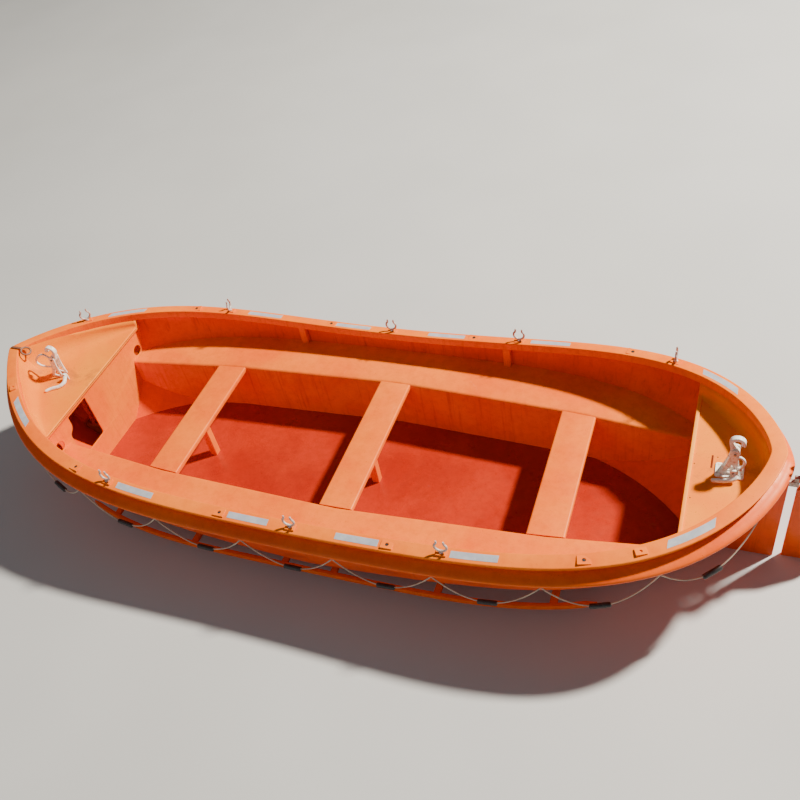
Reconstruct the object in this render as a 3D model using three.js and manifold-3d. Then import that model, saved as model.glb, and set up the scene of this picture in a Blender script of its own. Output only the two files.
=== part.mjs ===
// An open, double-ended ship's lifeboat of moulded glass fibre, about 5.9 m long.
// Millimetres. +X points to the stern, +Y to starboard's far side, +Z up.
// The origin lies on the waterline, amidships, on the centreline.
import * as THREE from "three";
import { mergeVertices } from "three/addons/utils/BufferGeometryUtils.js";
import Module from "manifold-3d";

const wasm = await Module();
wasm.setup();

// Driving dimensions of the plan and the sheer
const HALF_LENGTH = 2945; // amidships to the tip of the gunwale cap
const HALF_BEAM = 1042; // centreline to the cap's outer edge
const BOW_PLAN = { power: 4.48, fullness: 0.91 }; // how long the sides stay parallel, and
const STERN_PLAN = { power: 5.0, fullness: 0.68 }; // how blunt the end is
const FREEBOARD = 700; // waterline to the cap's outer edge amidships
const SHEER_RISE = 283; // how much higher the cap is at its tips
const GAP = 0.3; // clearance between touching pieces

// Hull
const HULL_INSET = 22; // the hull's side stands this far inside the cap's edge
const HULL_WALL = 12;
const HULL_BOTTOM = -220;
const FLAT_SHARE = 0.45; // share of the half length over which the keel is level
const KEEL_DEPTH = 45;
const KEEL_HALF_WIDTH = 30;
const GUNWALE_DEPTH = 52; // cap's outer edge down to the underside of the gunwale box

// Interior levels and edges
const DECK_Z = 737;
const DECK_WALL = 12;
const BOW_EDGE = -2205; // front edge of the bow deck
const STERN_EDGE = 2395; // front edge of the stern deck
const BENCH_Z = 500;
const BENCH_LINE = [
  // x of each joint between tanks, half distance between the benches there
  [-2233, 478],
  [-1300, 578],
  [150, 630],
  [1600, 553],
  [2423, 452],
];
const FLOOR_Z = 60;
const FLOOR_WALL = 20;
const CAP_WIDTH = 92;

// Stations along the half length, as shares, closer together towards the tip
const HALF_STATIONS = [0, 0.18, 0.34, 0.48, 0.6, 0.7, 0.785, 0.85, 0.9, 0.94, 0.97, 0.99];
const SECTION_HEIGHTS = [0.0, 0.02, 0.07, 0.15, 0.27, 0.42, 0.6, 0.8, 1.0];

const orange = new THREE.MeshStandardMaterial({ color: 0xe8763a, roughness: 0.45 });
const deckOrange = new THREE.MeshStandardMaterial({ color: 0xf0884a, roughness: 0.5 });
const redOrange = new THREE.MeshStandardMaterial({ color: 0xa8391c, roughness: 0.4 });
const whitePaint = new THREE.MeshStandardMaterial({ color: 0xe6e0d4, roughness: 0.6 });
const wornMetal = new THREE.MeshStandardMaterial({ color: 0xb9928a, roughness: 0.5, metalness: 0.6 });
const rope = new THREE.MeshStandardMaterial({ color: 0xcfc6b0, roughness: 0.9 });

// Solid geometry helpers

function toSolid(geometry) {
  const bare = geometry.clone();
  bare.deleteAttribute("normal");
  bare.deleteAttribute("uv");
  const merged = mergeVertices(bare, 1e-3);
  const make = (indices) =>
    new wasm.Manifold(
      new wasm.Mesh({
        numProp: 3,
        vertProperties: merged.attributes.position.array,
        triVerts: new Uint32Array(indices),
      }),
    );
  const indices = Array.from(merged.index.array);
  const solid = make(indices);
  return solid.volume() < 0 ? make(indices.reverse()) : solid;
}

function toGeometry(solid) {
  const { numProp, vertProperties, triVerts } = solid.getMesh();
  const count = vertProperties.length / numProp;
  const positions = new Float32Array(count * 3);
  for (let i = 0; i < count; i++) {
    positions.set(vertProperties.subarray(i * numProp, i * numProp + 3), i * 3);
  }
  const geometry = new THREE.BufferGeometry();
  geometry.setAttribute("position", new THREE.BufferAttribute(positions, 3));
  geometry.setIndex(new THREE.BufferAttribute(triVerts, 1));
  const flat = geometry.toNonIndexed();
  flat.computeVertexNormals();
  return flat;
}

const join = (...solids) => solids.reduce((sum, solid) => sum.add(solid));

function box([x0, x1], [y0, y1], [z0, z1]) {
  const geometry = new THREE.BoxGeometry(x1 - x0, y1 - y0, z1 - z0);
  return toSolid(geometry.translate((x0 + x1) / 2, (y0 + y1) / 2, (z0 + z1) / 2));
}

function shapeOf(points) {
  return new THREE.Shape(points.map(([x, y]) => new THREE.Vector2(x, y)));
}

// A plan outline in x and y, made thick from z0 to z1
function planPlate(shape, z0, z1) {
  const geometry = new THREE.ExtrudeGeometry(shape, {
    depth: z1 - z0,
    bevelEnabled: false,
    curveSegments: 10,
  });
  return toSolid(geometry.translate(0, 0, z0));
}

// A side outline in x and z, made thick from y0 to y1
function sidePlate(shape, y0, y1) {
  const geometry = new THREE.ExtrudeGeometry(shape, {
    depth: y1 - y0,
    bevelEnabled: false,
    curveSegments: 10,
  });
  return toSolid(geometry.rotateX(Math.PI / 2).translate(0, y1, 0));
}

function crossPin(x, z, radius, y0, y1) {
  const geometry = new THREE.CylinderGeometry(radius, radius, y1 - y0, 16);
  return toSolid(geometry.translate(x, (y0 + y1) / 2, z));
}

function upright(x, y, radius, z0, z1, sides = 16) {
  const geometry = new THREE.CylinderGeometry(radius, radius, z1 - z0, sides);
  return toSolid(geometry.rotateX(Math.PI / 2).translate(x, y, (z0 + z1) / 2));
}

function tube(points, radius, sides, steps) {
  const section = new THREE.Shape();
  for (let i = 0; i < sides; i++) {
    const angle = (2 * Math.PI * i) / sides;
    const move = i === 0 ? "moveTo" : "lineTo";
    section[move](radius * Math.cos(angle), radius * Math.sin(angle));
  }
  const path = new THREE.CatmullRomCurve3(points.map((p) => new THREE.Vector3(...p)));
  return toSolid(
    new THREE.ExtrudeGeometry(section, { steps, extrudePath: path, bevelEnabled: false }),
  );
}

// Closed surface through equal loops of points. Caps close the first and last loop,
// or else the loops themselves form a closed ring.
function loopSurface(loops, capped) {
  const size = loops[0].length;
  const positions = loops.flat(2);
  const indices = [];
  const at = (k, i) => (k % loops.length) * size + (i % size);
  for (let k = 0; k < loops.length - (capped ? 1 : 0); k++) {
    for (let i = 0; i < size; i++) {
      indices.push(at(k, i), at(k + 1, i), at(k + 1, i + 1));
      indices.push(at(k, i), at(k + 1, i + 1), at(k, i + 1));
    }
  }
  if (capped) {
    for (const k of [0, loops.length - 1]) {
      const loop = loops[k];
      const middle = [0, 1, 2].map((a) => loop.reduce((s, p) => s + p[a], 0) / size);
      const centre = positions.length / 3;
      positions.push(...middle);
      for (let i = 0; i < size; i++) {
        const pair = k === 0 ? [at(k, i), at(k, i + 1)] : [at(k, i + 1), at(k, i)];
        indices.push(...pair, centre);
      }
    }
  }
  const geometry = new THREE.BufferGeometry();
  geometry.setAttribute("position", new THREE.Float32BufferAttribute(positions, 3));
  geometry.setIndex(indices);
  return toSolid(geometry);
}

// Lines of the boat

const sheer = (x) => FREEBOARD + SHEER_RISE * (x / HALF_LENGTH) ** 2;

// Half the breadth of the plan outline that runs `inset` inside the cap's edge
function halfBreadth(x, inset) {
  const share = Math.min(1, Math.abs(x) / (HALF_LENGTH - inset));
  const { power, fullness } = x < 0 ? BOW_PLAN : STERN_PLAN;
  return (HALF_BEAM - inset) * (1 - share ** power) ** fullness;
}

const hullTop = (x) => sheer(x) - GUNWALE_DEPTH - GAP;

// Height of the hull's bottom on the centreline: level amidships, curving up to the stems
function keelLine(x, inset) {
  const share = Math.abs(x) / (HALF_LENGTH - HULL_INSET - inset);
  const along = Math.max(0, (share - FLAT_SHARE) / (1 - FLAT_SHARE));
  const bottom = HULL_BOTTOM + inset;
  const rise = 1 - Math.sqrt(Math.max(0, 1 - along ** 2.4));
  return bottom + (hullTop(x) - bottom) * rise;
}

// Share of the top breadth that a section has at the share h of its height
function sectionShare(x, h) {
  const end = Math.abs(x) / HALF_LENGTH;
  const bilge = 2.6 - 1.1 * end;
  const sharpness = 0.5 + 0.5 * end ** 1.5;
  return (1 - (1 - h) ** bilge) ** sharpness;
}

const mirrored = (half) => [...half.slice(1).reverse().map((c) => -c), ...half];

// The hull's form, `inset` inside its outer face and open or closed at the height `lid` above it
function hullForm(inset, lid = 0) {
  const reach = HALF_LENGTH - HULL_INSET - inset;
  const loops = mirrored([...HALF_STATIONS, 0.998]).map((share) => {
    const x = share * reach;
    const bottom = keelLine(x, inset);
    const breadth = halfBreadth(x, HULL_INSET + inset);
    const side = SECTION_HEIGHTS.map((h) => [
      breadth * sectionShare(x, h),
      bottom + (hullTop(x) - bottom) * h,
    ]);
    if (lid > 0) side.push([breadth, hullTop(x) + lid]);
    const port = side.slice(1).reverse().map(([y, z]) => [x, -y, z]);
    return [...port, ...side.map(([y, z]) => [x, y, z])];
  });
  return loopSurface(loops, true);
}

// A ring round the boat: each profile point is an inset from the cap's edge and a height
// above or below the sheer
function sheerRing(profile) {
  const shares = mirrored([...HALF_STATIONS, 0.998, 1]);
  const loops = profile.map(([inset, height]) => {
    const reach = HALF_LENGTH - inset;
    const side = shares.map((share) => {
      const x = share * reach;
      return [x, halfBreadth(x, inset), sheer(x) + height];
    });
    const back = side.slice(1, -1).reverse().map(([x, y, z]) => [x, -y, z]);
    return [...side, ...back];
  });
  return loopSurface(loops, false);
}

const cavity = hullForm(HULL_WALL + GAP);
const outside = hullForm(-GAP, 300);
const bay = hullForm(HULL_WALL, 300);

const boat = new THREE.Group();

function addPart(name, solid, material) {
  const mesh = new THREE.Mesh(toGeometry(solid), material);
  mesh.name = name;
  boat.add(mesh);
}

// Outer hull skin
addPart("hull_shell", hullForm(0).subtract(bay), orange);

// Keel bar, rounded stem, and at the stern a skeg with a straight post and two gudgeons
const POST_X = [2925, 2985];
const POST_TOP = 815;
const KEEL_BOTTOM = HULL_BOTTOM - KEEL_DEPTH;
const LEVEL_KEEL = 1290; // half length of the keel's flat underside
const RUDDER_X = 3025;
const GUDGEONS = [
  // bottom and top height
  [-150, -110],
  [700, 740],
];
const PINTLE_RADIUS = 9;

function keel() {
  const span = HALF_LENGTH + 200;
  const slice = box([-span, span], [-KEEL_HALF_WIDTH, KEEL_HALF_WIDTH], [KEEL_BOTTOM - 50, 2000]);
  const bar = hullForm(-KEEL_DEPTH).intersect(slice);
  const skeg = sidePlate(
    shapeOf([
      [1250, KEEL_BOTTOM],
      [POST_X[1], KEEL_BOTTOM],
      [POST_X[1], POST_TOP],
      [POST_X[0] - 60, POST_TOP],
      [2400, 200],
      [1250, HULL_BOTTOM + 20],
    ]),
    -KEEL_HALF_WIDTH,
    KEEL_HALF_WIDTH,
  );
  const head = box([-span, span], [-200, 200], [POST_TOP, 2000]);
  const level = [KEEL_BOTTOM, HULL_BOTTOM + 10];
  const shoe = box([-LEVEL_KEEL, LEVEL_KEEL], [-KEEL_HALF_WIDTH, KEEL_HALF_WIDTH], level);
  let solid = join(bar, shoe, skeg).subtract(outside).subtract(head);
  for (const [z0, z1] of GUDGEONS) {
    const lug = box([POST_X[1] - 5, RUDDER_X + 18], [-16, 16], [z0, z1]);
    const hole = upright(RUDDER_X, 0, PINTLE_RADIUS + 0.4, z0 - 1, z1 + 1);
    solid = solid.add(lug).subtract(hole);
  }
  return solid;
}
addPart("keel_and_posts", keel(), orange);

// Gunwale: box section under a cap that slopes outwards, with square socket plates and brackets
const CAP_CAMBER = 15;
const SOCKET_X = [-1710, -510, 700, 1900];
const SOCKET_SIZE = [150, 80, 8]; // along, across, height
const SOCKET_HOLE = 15;
const CRUTCH_X = [-2525, -1420, 30, 1070, 2220];
const CRUTCH_INSET = 46;
const CRUTCH_SEAT = [70, 50, 8]; // length, width, height above the cap
const SHANK_RADIUS = 8;
const capHeight = (x, inset) => sheer(x) + (CAP_CAMBER * inset) / CAP_WIDTH;
const capPoint = (x, inset, side) => [x, side * halfBreadth(x, inset), capHeight(x, inset)];
const planAngle = (x, inset) =>
  Math.atan2(halfBreadth(x + 5, inset) - halfBreadth(x - 5, inset), 10);

// A block on the cap, turned to follow the gunwale
function capBlock(x, side, length, width, below, above) {
  const [, y, z] = capPoint(x, CRUTCH_INSET, side);
  const geometry = new THREE.BoxGeometry(length, width, below + above);
  geometry.translate(0, 0, (above - below) / 2);
  geometry.rotateZ(side * planAngle(x, CRUTCH_INSET));
  return toSolid(geometry.translate(x, y, z));
}

function gunwale() {
  let solid = sheerRing([
    [0, -14],
    [0, -4],
    [4, 0],
    [CAP_WIDTH - 4, CAP_CAMBER],
    [CAP_WIDTH, CAP_CAMBER - 4],
    [CAP_WIDTH, -GUNWALE_DEPTH],
    [HULL_INSET, -GUNWALE_DEPTH],
    [HULL_INSET, -18],
  ]);
  const [length, width, height] = SOCKET_SIZE;
  for (const side of [-1, 1]) {
    for (const x of SOCKET_X) {
      const [, y, z] = capPoint(x, CRUTCH_INSET, side);
      solid = solid.add(capBlock(x, side, length, width, 20, height));
      solid = solid.subtract(upright(x, y, SOCKET_HOLE, z - 40, z + 40));
    }
    for (const x of CRUTCH_X) {
      const [, y, z] = capPoint(x, CRUTCH_INSET, side);
      solid = solid.add(capBlock(x, side, CRUTCH_SEAT[0], CRUTCH_SEAT[1], 20, CRUTCH_SEAT[2]));
      solid = solid.subtract(upright(x, y, SHANK_RADIUS + 0.5, z - 40, z + 40));
    }
  }
  return solid;
}
addPart("gunwale", gunwale(), orange);

// Rubbing strake: a rounded rail moulded all round under the cap
const STRAKE_PROFILE = [
  // inset from the cap's edge (negative is outside it), height from the sheer
  [60, -62],
  [10, -66],
  [-8, -78],
  [-30, -90],
  [-46, -99],
  [-52, -112],
  [-47, -127],
  [-30, -138],
  [60, -150],
];
// Eyes under the strake that carry the grab line: `BIGHTS` equal hanging lengths a side
const BIGHTS = 9;
const BIGHT_END = 2830;
const LINE_INSET = -26;
const EYE_DEPTH = 152; // underside of an eye below the sheer
const EYE_HALF = 8;
function linePlan(side) {
  const plan = [];
  for (let k = 0; k <= 200; k++) {
    const x = -BIGHT_END + (2 * BIGHT_END * k) / 200;
    plan.push(new THREE.Vector3(x, side * halfBreadth(x, LINE_INSET), 0));
  }
  return new THREE.CatmullRomCurve3(plan);
}

function strake() {
  let solid = sheerRing(STRAKE_PROFILE).subtract(outside);
  for (const side of [-1, 1]) {
    for (let k = 0; k <= BIGHTS; k++) {
      const { x, y } = linePlan(side).getPointAt(k / BIGHTS);
      const levels = [sheer(x) - EYE_DEPTH, sheer(x) - EYE_DEPTH + 40];
      solid = solid.add(box([x - EYE_HALF, x + EYE_HALF], [y - EYE_HALF, y + EYE_HALF], levels));
    }
  }
  return solid;
}
addPart("rubbing_strake", strake(), orange);

// Bench tanks, four a side, with the stiffeners that stand on them under the gunwale
const STIFFENER_X = [-780, 970];
const STIFFENER_WIDTH = 60;
const BULKHEAD_INSET = 28; // bulkhead's face behind the deck edge
const BULKHEAD_WALL = 12;
const WELL = [BOW_EDGE - BULKHEAD_INSET + GAP, STERN_EDGE + BULKHEAD_INSET - GAP];

// Plan outline between the benches, `clear` wider than their faces
function wellOutline(clear) {
  const side = BENCH_LINE.map(([x, y]) => [
    Math.min(Math.max(x, WELL[0]), WELL[1]),
    y + clear,
  ]);
  return [...side, ...side.map(([x, y]) => [x, -y]).reverse()];
}

function benchTank(side, from, to) {
  const half = side < 0 ? [-1200, 0] : [0, 1200];
  const ends = [Math.max(from + GAP / 2, WELL[0]), Math.min(to - GAP / 2, WELL[1])];
  const block = box(ends, half, [-400, BENCH_Z]);
  const well = planPlate(shapeOf(wellOutline(0)), -500, 900);
  let tank = cavity.intersect(block).subtract(well);
  for (const x of STIFFENER_X.filter((post) => post > from && post < to)) {
    const top = sheer(x - STIFFENER_WIDTH / 2 * Math.sign(x)) - GUNWALE_DEPTH - GAP - 2;
    const inner = halfBreadth(x, 84);
    const reach = side < 0 ? [-1200, -inner] : [inner, 1200];
    const post = box(
      [x - STIFFENER_WIDTH / 2, x + STIFFENER_WIDTH / 2],
      reach,
      [BENCH_Z - 30, top],
    );
    tank = tank.add(post.intersect(cavity));
  }
  return tank;
}
BENCH_LINE.slice(0, -1).forEach(([from], i) => {
  const to = BENCH_LINE[i + 1][0];
  addPart(`bench_tank_port_${i + 1}`, benchTank(-1, from, to), orange);
  addPart(`bench_tank_starboard_${i + 1}`, benchTank(1, from, to), orange);
});

// Floor panel between the bench tanks
function floorPanel() {
  const plate = planPlate(shapeOf(wellOutline(-GAP)), FLOOR_Z - FLOOR_WALL, FLOOR_Z);
  return plate.intersect(cavity);
}
addPart("floor", floorPanel(), redOrange);

// Three thwarts, each on a pillar
const THWART_X = [-1300, 150, 1600];
const THWART_WIDTH = 250;
const THWART_WALL = 45;
const PILLAR = 60;
THWART_X.forEach((x, i) => {
  const ends = planPlate(shapeOf(wellOutline(-GAP)), BENCH_Z - THWART_WALL, BENCH_Z);
  const slice = box(
    [x - THWART_WIDTH / 2, x + THWART_WIDTH / 2],
    [-1200, 1200],
    [BENCH_Z - THWART_WALL, BENCH_Z],
  );
  const pillar = box(
    [x - PILLAR / 2, x + PILLAR / 2],
    [-PILLAR / 2, PILLAR / 2],
    [FLOOR_Z + GAP, BENCH_Z - 5],
  );
  addPart(`thwart_${i + 1}`, ends.intersect(slice).add(pillar), orange);
});

// Recessed end decks: flat, with a lip along the front edge, and with their sides and tip
// swept up to the gunwale in a hollow curve that grows towards the tip
const LIP = [25, 10, 40]; // along, above the deck, below the deck
const BOW_SWEEP = { width: [30, 175], height: [35, 215] }; // at the front edge, at the tip
const STERN_SWEEP = { width: [35, 65], height: [40, 80] };

// D-shaped plan loop from the straight edge round the tip. `inset` and `height` are functions
// of the share of the way from the edge to the tip.
function deckLoop(edge, inset, height) {
  const shares = [0, 0.2, 0.4, 0.58, 0.73, 0.85, 0.93, 0.98, 1];
  const side = shares.map((share) => {
    const tip = Math.sign(edge) * (HALF_LENGTH - inset(1));
    const x = edge + (tip - edge) * share;
    const breadth = share === 1 ? 0 : Math.max(4, halfBreadth(x, inset(share)));
    return [x, breadth, height(share, x)];
  });
  return [...side, ...side.slice(0, -1).reverse().map(([x, y, z]) => [x, -y, z])];
}

function deck(edge, sweep) {
  const rim = (share, x) => sheer(x) - GUNWALE_DEPTH - 1.5;
  const under = () => DECK_Z - DECK_WALL;
  const outer = () => CAP_WIDTH - 14;
  const tray = loopSurface([deckLoop(edge, outer, under), deckLoop(edge, outer, rim)], true);
  const away = edge - Math.sign(edge) * 20;
  const grown = ([start, end], share) => start + (end - start) * share ** 1.3;
  const curve = [0, 25, 50, 72, 90].map((degrees) => {
    const angle = (degrees * Math.PI) / 180;
    return deckLoop(
      away,
      (share) => CAP_WIDTH + grown(sweep.width, share) * (1 - Math.sin(angle)),
      (share) => DECK_Z + grown(sweep.height, share) * (1 - Math.cos(angle)),
    );
  });
  const top = deckLoop(away, () => CAP_WIDTH, (share, x) => rim(share, x) + 60);
  const [along, above, below] = LIP;
  const front = [edge, edge + Math.sign(edge) * along].sort((a, b) => a - b);
  const reach = halfBreadth(edge, CAP_WIDTH + 30);
  const lip = box(front, [-reach, reach], [DECK_Z - below, DECK_Z + above]);
  return tray.subtract(loopSurface([...curve, top], true)).add(lip);
}
addPart("bow_deck", deck(BOW_EDGE, BOW_SWEEP), deckOrange);
addPart("stern_deck", deck(STERN_EDGE, STERN_SWEEP), deckOrange);

// Bulkheads under the deck edges, with a round hole each side. The bow's is open beside the
// centreline to port, and the stern's in the middle.
const BOW_OPENING = [
  // y, z
  [-150, 800],
  [-150, 300],
  [-180, 270],
  [-410, 270],
  [-440, 300],
  [-440, 500],
  [-425, 540],
  [-395, 565],
  [-380, 600],
  [-380, 800],
];
const OPENING_HALF = 460;
const OPENING_RIM = 60; // frame left along the hull under the opening
const HOLE = { y: 576, z: 548, radius: 46 };
function bulkhead(edge) {
  const face = edge + Math.sign(edge) * BULKHEAD_INSET;
  const slab = [face, face + Math.sign(edge) * BULKHEAD_WALL].sort((a, b) => a - b);
  let plate = cavity.intersect(box(slab, [-1200, 1200], [-400, DECK_Z - DECK_WALL - GAP]));
  const reach = [slab[0] - 5, slab[1] + 5];
  const open =
    edge < 0
      ? planPlate(shapeOf(BOW_OPENING), ...reach).rotate([90, 0, 90])
      : box(reach, [-OPENING_HALF, OPENING_HALF], [FLOOR_Z, 1000]);
  plate = plate.subtract(open.intersect(hullForm(HULL_WALL + OPENING_RIM, 300)));
  for (const side of [-1, 1]) {
    const geometry = new THREE.CylinderGeometry(HOLE.radius, HOLE.radius, 60, 20);
    geometry.rotateZ(Math.PI / 2).translate(face, side * HOLE.y, HOLE.z);
    plate = plate.subtract(toSolid(geometry));
  }
  return plate;
}
addPart("bow_bulkhead", bulkhead(BOW_EDGE), orange);
addPart("stern_bulkhead", bulkhead(STERN_EDGE), orange);

// Hook stays: a pipe from each deck down to a foot on the keel
const STAY_RADIUS = 21;
const STAY_X = [-2475, 2640];
const FOOT = [150, 70, 120]; // length, width, height above the hull's inner bottom
["bow", "stern"].forEach((end, i) => {
  const x = STAY_X[i];
  const bottom = keelLine(x, HULL_WALL);
  const [length, width, height] = FOOT;
  const foot = box([x - length / 2, x + length / 2], [-width / 2, width / 2], [bottom - 200, bottom + height]);
  const pipe = upright(x, 0, STAY_RADIUS, bottom + height - 5, DECK_Z - DECK_WALL - GAP);
  addPart(`${end}_hook_stay`, foot.intersect(cavity).add(pipe), orange);
});

// Release gear on each deck: two cheeks on feet that carry the hook and the lever.
// Lengths run from the gear's foot, and the cheeks and hook lean by `lean` degrees.
const BASE = [170, 116, 10];
const CHEEKS = [23, 32]; // inner and outer face from the centreline
const HOOK_PIVOT = 195; // above the deck
const PIN_RADIUS = 8;
const HOOK_HALF = 17;
const HOOK_THROAT = { z: 75, radius: 24, outer: 48 };
const ARM_OFFSET = -30; // counterweight arm's distance from the centreline
const LEVER_HEIGHT = 60; // lever's pivot above the deck
const LEVER_RADIUS = 15;
const GEARS = [
  {
    end: "bow", x: -2548, lean: 8.5, inboard: 1, leverX: -2440,
    arm: [[-12, 219], [-58, 240], [-110, 215], [-158, 158], [-164, 120], [-130, 98], [-80, 101], [-24, 114]],
    ball: null,
    lever: [[0, -54], [14, -76], [20, -112], [-8, -150], [-62, -182], [-96, -218]],
  },
  {
    end: "stern", x: 2642, lean: 4.5, inboard: -1, leverX: 2664,
    arm: [[14, 170], [34, 178], [58, 160], [66, 128], [60, 96], [48, 76]],
    ball: [50, 76, 16],
    lever: [[0, -54], [10, -66], [6, -84], [-34, -96], [-82, -103], [-122, -108]],
  },
];

for (const { end, x, lean, inboard, leverX, arm, ball, lever } of GEARS) {
  const z = DECK_Z + GAP;
  const [length, width, height] = BASE;
  const leaned = (solid) => solid.rotate([0, lean, 0]).translate([x, 0, z]);
  const plate = box([x - length / 2, x + length / 2], [-width / 2, width / 2], [z, z + height]);
  const cheekShape = shapeOf([
    [-58, -25], [58, -25], [52, 25], [34, 95], [27, 150], [28, 210], [15, 228], [-15, 228],
    [-28, 210], [-27, 150], [-34, 95], [-52, 25],
  ]);
  cheekShape.holes.push(shapeOf([[-25, 28], [0, 98], [25, 28]]));
  const [inner, outer] = CHEEKS;
  const cheeks = [[-outer, -inner], [inner, outer]].map((faces) => sidePlate(cheekShape, ...faces));
  const hookPin = crossPin(0, HOOK_PIVOT, PIN_RADIUS, -outer - 8, outer + 8);
  const counterArm = tube(arm.map(([u, w]) => [u, ARM_OFFSET, w]), 8.5, 10, 24);
  let stand = join(...cheeks, hookPin, counterArm);
  if (ball) {
    const [u, w, radius] = ball;
    stand = stand.add(toSolid(new THREE.SphereGeometry(radius, 14, 10).translate(u, ARM_OFFSET, w)));
  }
  const underDeck = box([x - 400, x + 400], [-400, 400], [z - 200, z]);
  const leverPost = box([leverX - 16, leverX + 16], [-46, -36], [z, z + LEVER_HEIGHT + 14]);
  const postFoot = box([Math.min(x, leverX - 16), Math.max(x, leverX + 16)], [-50, 0], [z, z + height]);
  const leverPin = crossPin(leverX, z + LEVER_HEIGHT, PIN_RADIUS, -70, -38);
  const base = join(plate, leaned(stand).subtract(underDeck), leverPost, postFoot, leverPin);
  addPart(`${end}_hook_base`, base, whitePaint);

  // Hook: opens away from the boat's middle, and falls over towards it when let go
  const { z: throatZ, radius, outer: rim } = HOOK_THROAT;
  const outline = new THREE.Shape();
  outline.moveTo(-26, 0);
  outline.lineTo(-rim, throatZ);
  outline.absarc(0, throatZ, rim, Math.PI, -0.35, true);
  outline.lineTo(radius * Math.cos(0.35), throatZ - radius * Math.sin(0.35));
  outline.absarc(0, throatZ, radius, -0.35, Math.PI * 1.12, false);
  outline.lineTo(0, 40);
  outline.absarc(0, 0, 26, 1.0, -Math.PI, true);
  const flat = sidePlate(outline, -HOOK_HALF, HOOK_HALF);
  const hook = inboard > 0 ? flat.mirror([1, 0, 0]) : flat;
  const eye = crossPin(0, 0, PIN_RADIUS + 0.4, -60, 60);
  addPart(`${end}_hook`, leaned(hook.subtract(eye).translate([0, 0, HOOK_PIVOT])), whitePaint);

  // Lever: a thick bent bar that lies just above the deck
  const low = LEVER_RADIUS + 6;
  const heights = [LEVER_HEIGHT, LEVER_HEIGHT - 12, 34, low + 2, low, low];
  const bar = tube(
    lever.map(([dx, y], k) => [leverX + dx, y, z + heights[k]]),
    LEVER_RADIUS,
    10,
    24,
  );
  const disc = crossPin(leverX, z + LEVER_HEIGHT, 23, -66, -51);
  const bore = crossPin(leverX, z + LEVER_HEIGHT, PIN_RADIUS + 0.4, -78, -30);
  const deckTop = box([x - 400, x + 400], [-400, 400], [z - 60, z + 5]);
  const behind = box([x - 400, x + 400], [-51, 0], [z, z + 200]);
  const handle = disc.add(bar).subtract(bore).subtract(deckTop).subtract(behind);
  addPart(`${end}_release_lever`, handle, whitePaint);
}

// Bilge grab rails on brackets
const RAIL_Z = 160;
const RAIL_SIZE = [36, 40];
const RAIL_END = 1965;
const BRACKET_X = [-1700, -945, -190, 190, 945, 1700];
const railPath = (x) => 955 - 200 * (x / RAIL_END) ** 4;
["port", "starboard"].forEach((name, i) => {
  const side = i === 0 ? -1 : 1;
  const [width, height] = RAIL_SIZE;
  const shares = [-1, -0.85, -0.7, -0.5, -0.25, 0, 0.25, 0.5, 0.7, 0.85, 1];
  const loops = shares.map((share) => {
    const x = share * RAIL_END;
    const y = railPath(x);
    return [
      [x, side * (y - width / 2), RAIL_Z - height / 2],
      [x, side * (y + width / 2), RAIL_Z - height / 2],
      [x, side * (y + width / 2), RAIL_Z + height / 2],
      [x, side * (y - width / 2), RAIL_Z + height / 2],
    ];
  });
  let rail = loopSurface(loops, true);
  for (const x of BRACKET_X) {
    const y = railPath(x);
    const across = side < 0 ? [-y, -y + 420] : [y - 420, y];
    rail = rail.add(box([x - 25, x + 25], across, [RAIL_Z - 12, RAIL_Z + 12]).subtract(outside));
  }
  addPart(`bilge_rail_${name}`, rail, orange);
});

// Rudder with its pintles and head, and the tiller
const BLADE_X = 3037;
const BLADE_HALF = 11;
const BLADE_TOP = 960;
function rudder() {
  const blade = sidePlate(
    shapeOf([
      [BLADE_X, KEEL_BOTTOM + 25],
      [BLADE_X + 230, KEEL_BOTTOM + 25],
      [BLADE_X + 285, KEEL_BOTTOM + 90],
      [BLADE_X + 270, 330],
      [BLADE_X + 190, 560],
      [BLADE_X + 75, 640],
      [BLADE_X + 75, BLADE_TOP],
      [BLADE_X, BLADE_TOP],
    ]),
    -BLADE_HALF,
    BLADE_HALF,
  );
  const stock = box([BLADE_X - 2, BLADE_X + 85], [-20, 20], [600, BLADE_TOP]);
  let solid = blade.add(stock);
  for (const [z0, z1] of GUDGEONS) {
    solid = solid.subtract(box([BLADE_X - 10, BLADE_X + 25], [-40, 40], [z0 - 8, z1 + GAP]));
    solid = solid.add(box([RUDDER_X - 15, BLADE_X + 40], [-14, 14], [z1 + GAP, z1 + 40]));
    solid = solid.add(upright(RUDDER_X, 0, PINTLE_RADIUS, z0 + 2, z1 + 5));
  }
  return solid;
}
addPart("rudder", rudder(), orange);

// Rudder head: two cheeks and a back that clasp the stock and form the tiller's empty socket
const HEAD_FACES = [20 + GAP, 28];
const HEAD_HEIGHTS = [880, 1025];
const headCheeks = [-1, 1].map((side) => {
  const faces = HEAD_FACES.map((y) => side * y).sort((a, b) => a - b);
  return box([BLADE_X - 2, BLADE_X + 94], faces, HEAD_HEIGHTS);
});
const headBack = box([BLADE_X + 85 + GAP, BLADE_X + 94], [-28, 28], HEAD_HEIGHTS);
addPart("rudder_head", join(...headCheeks, headBack), orange);

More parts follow.
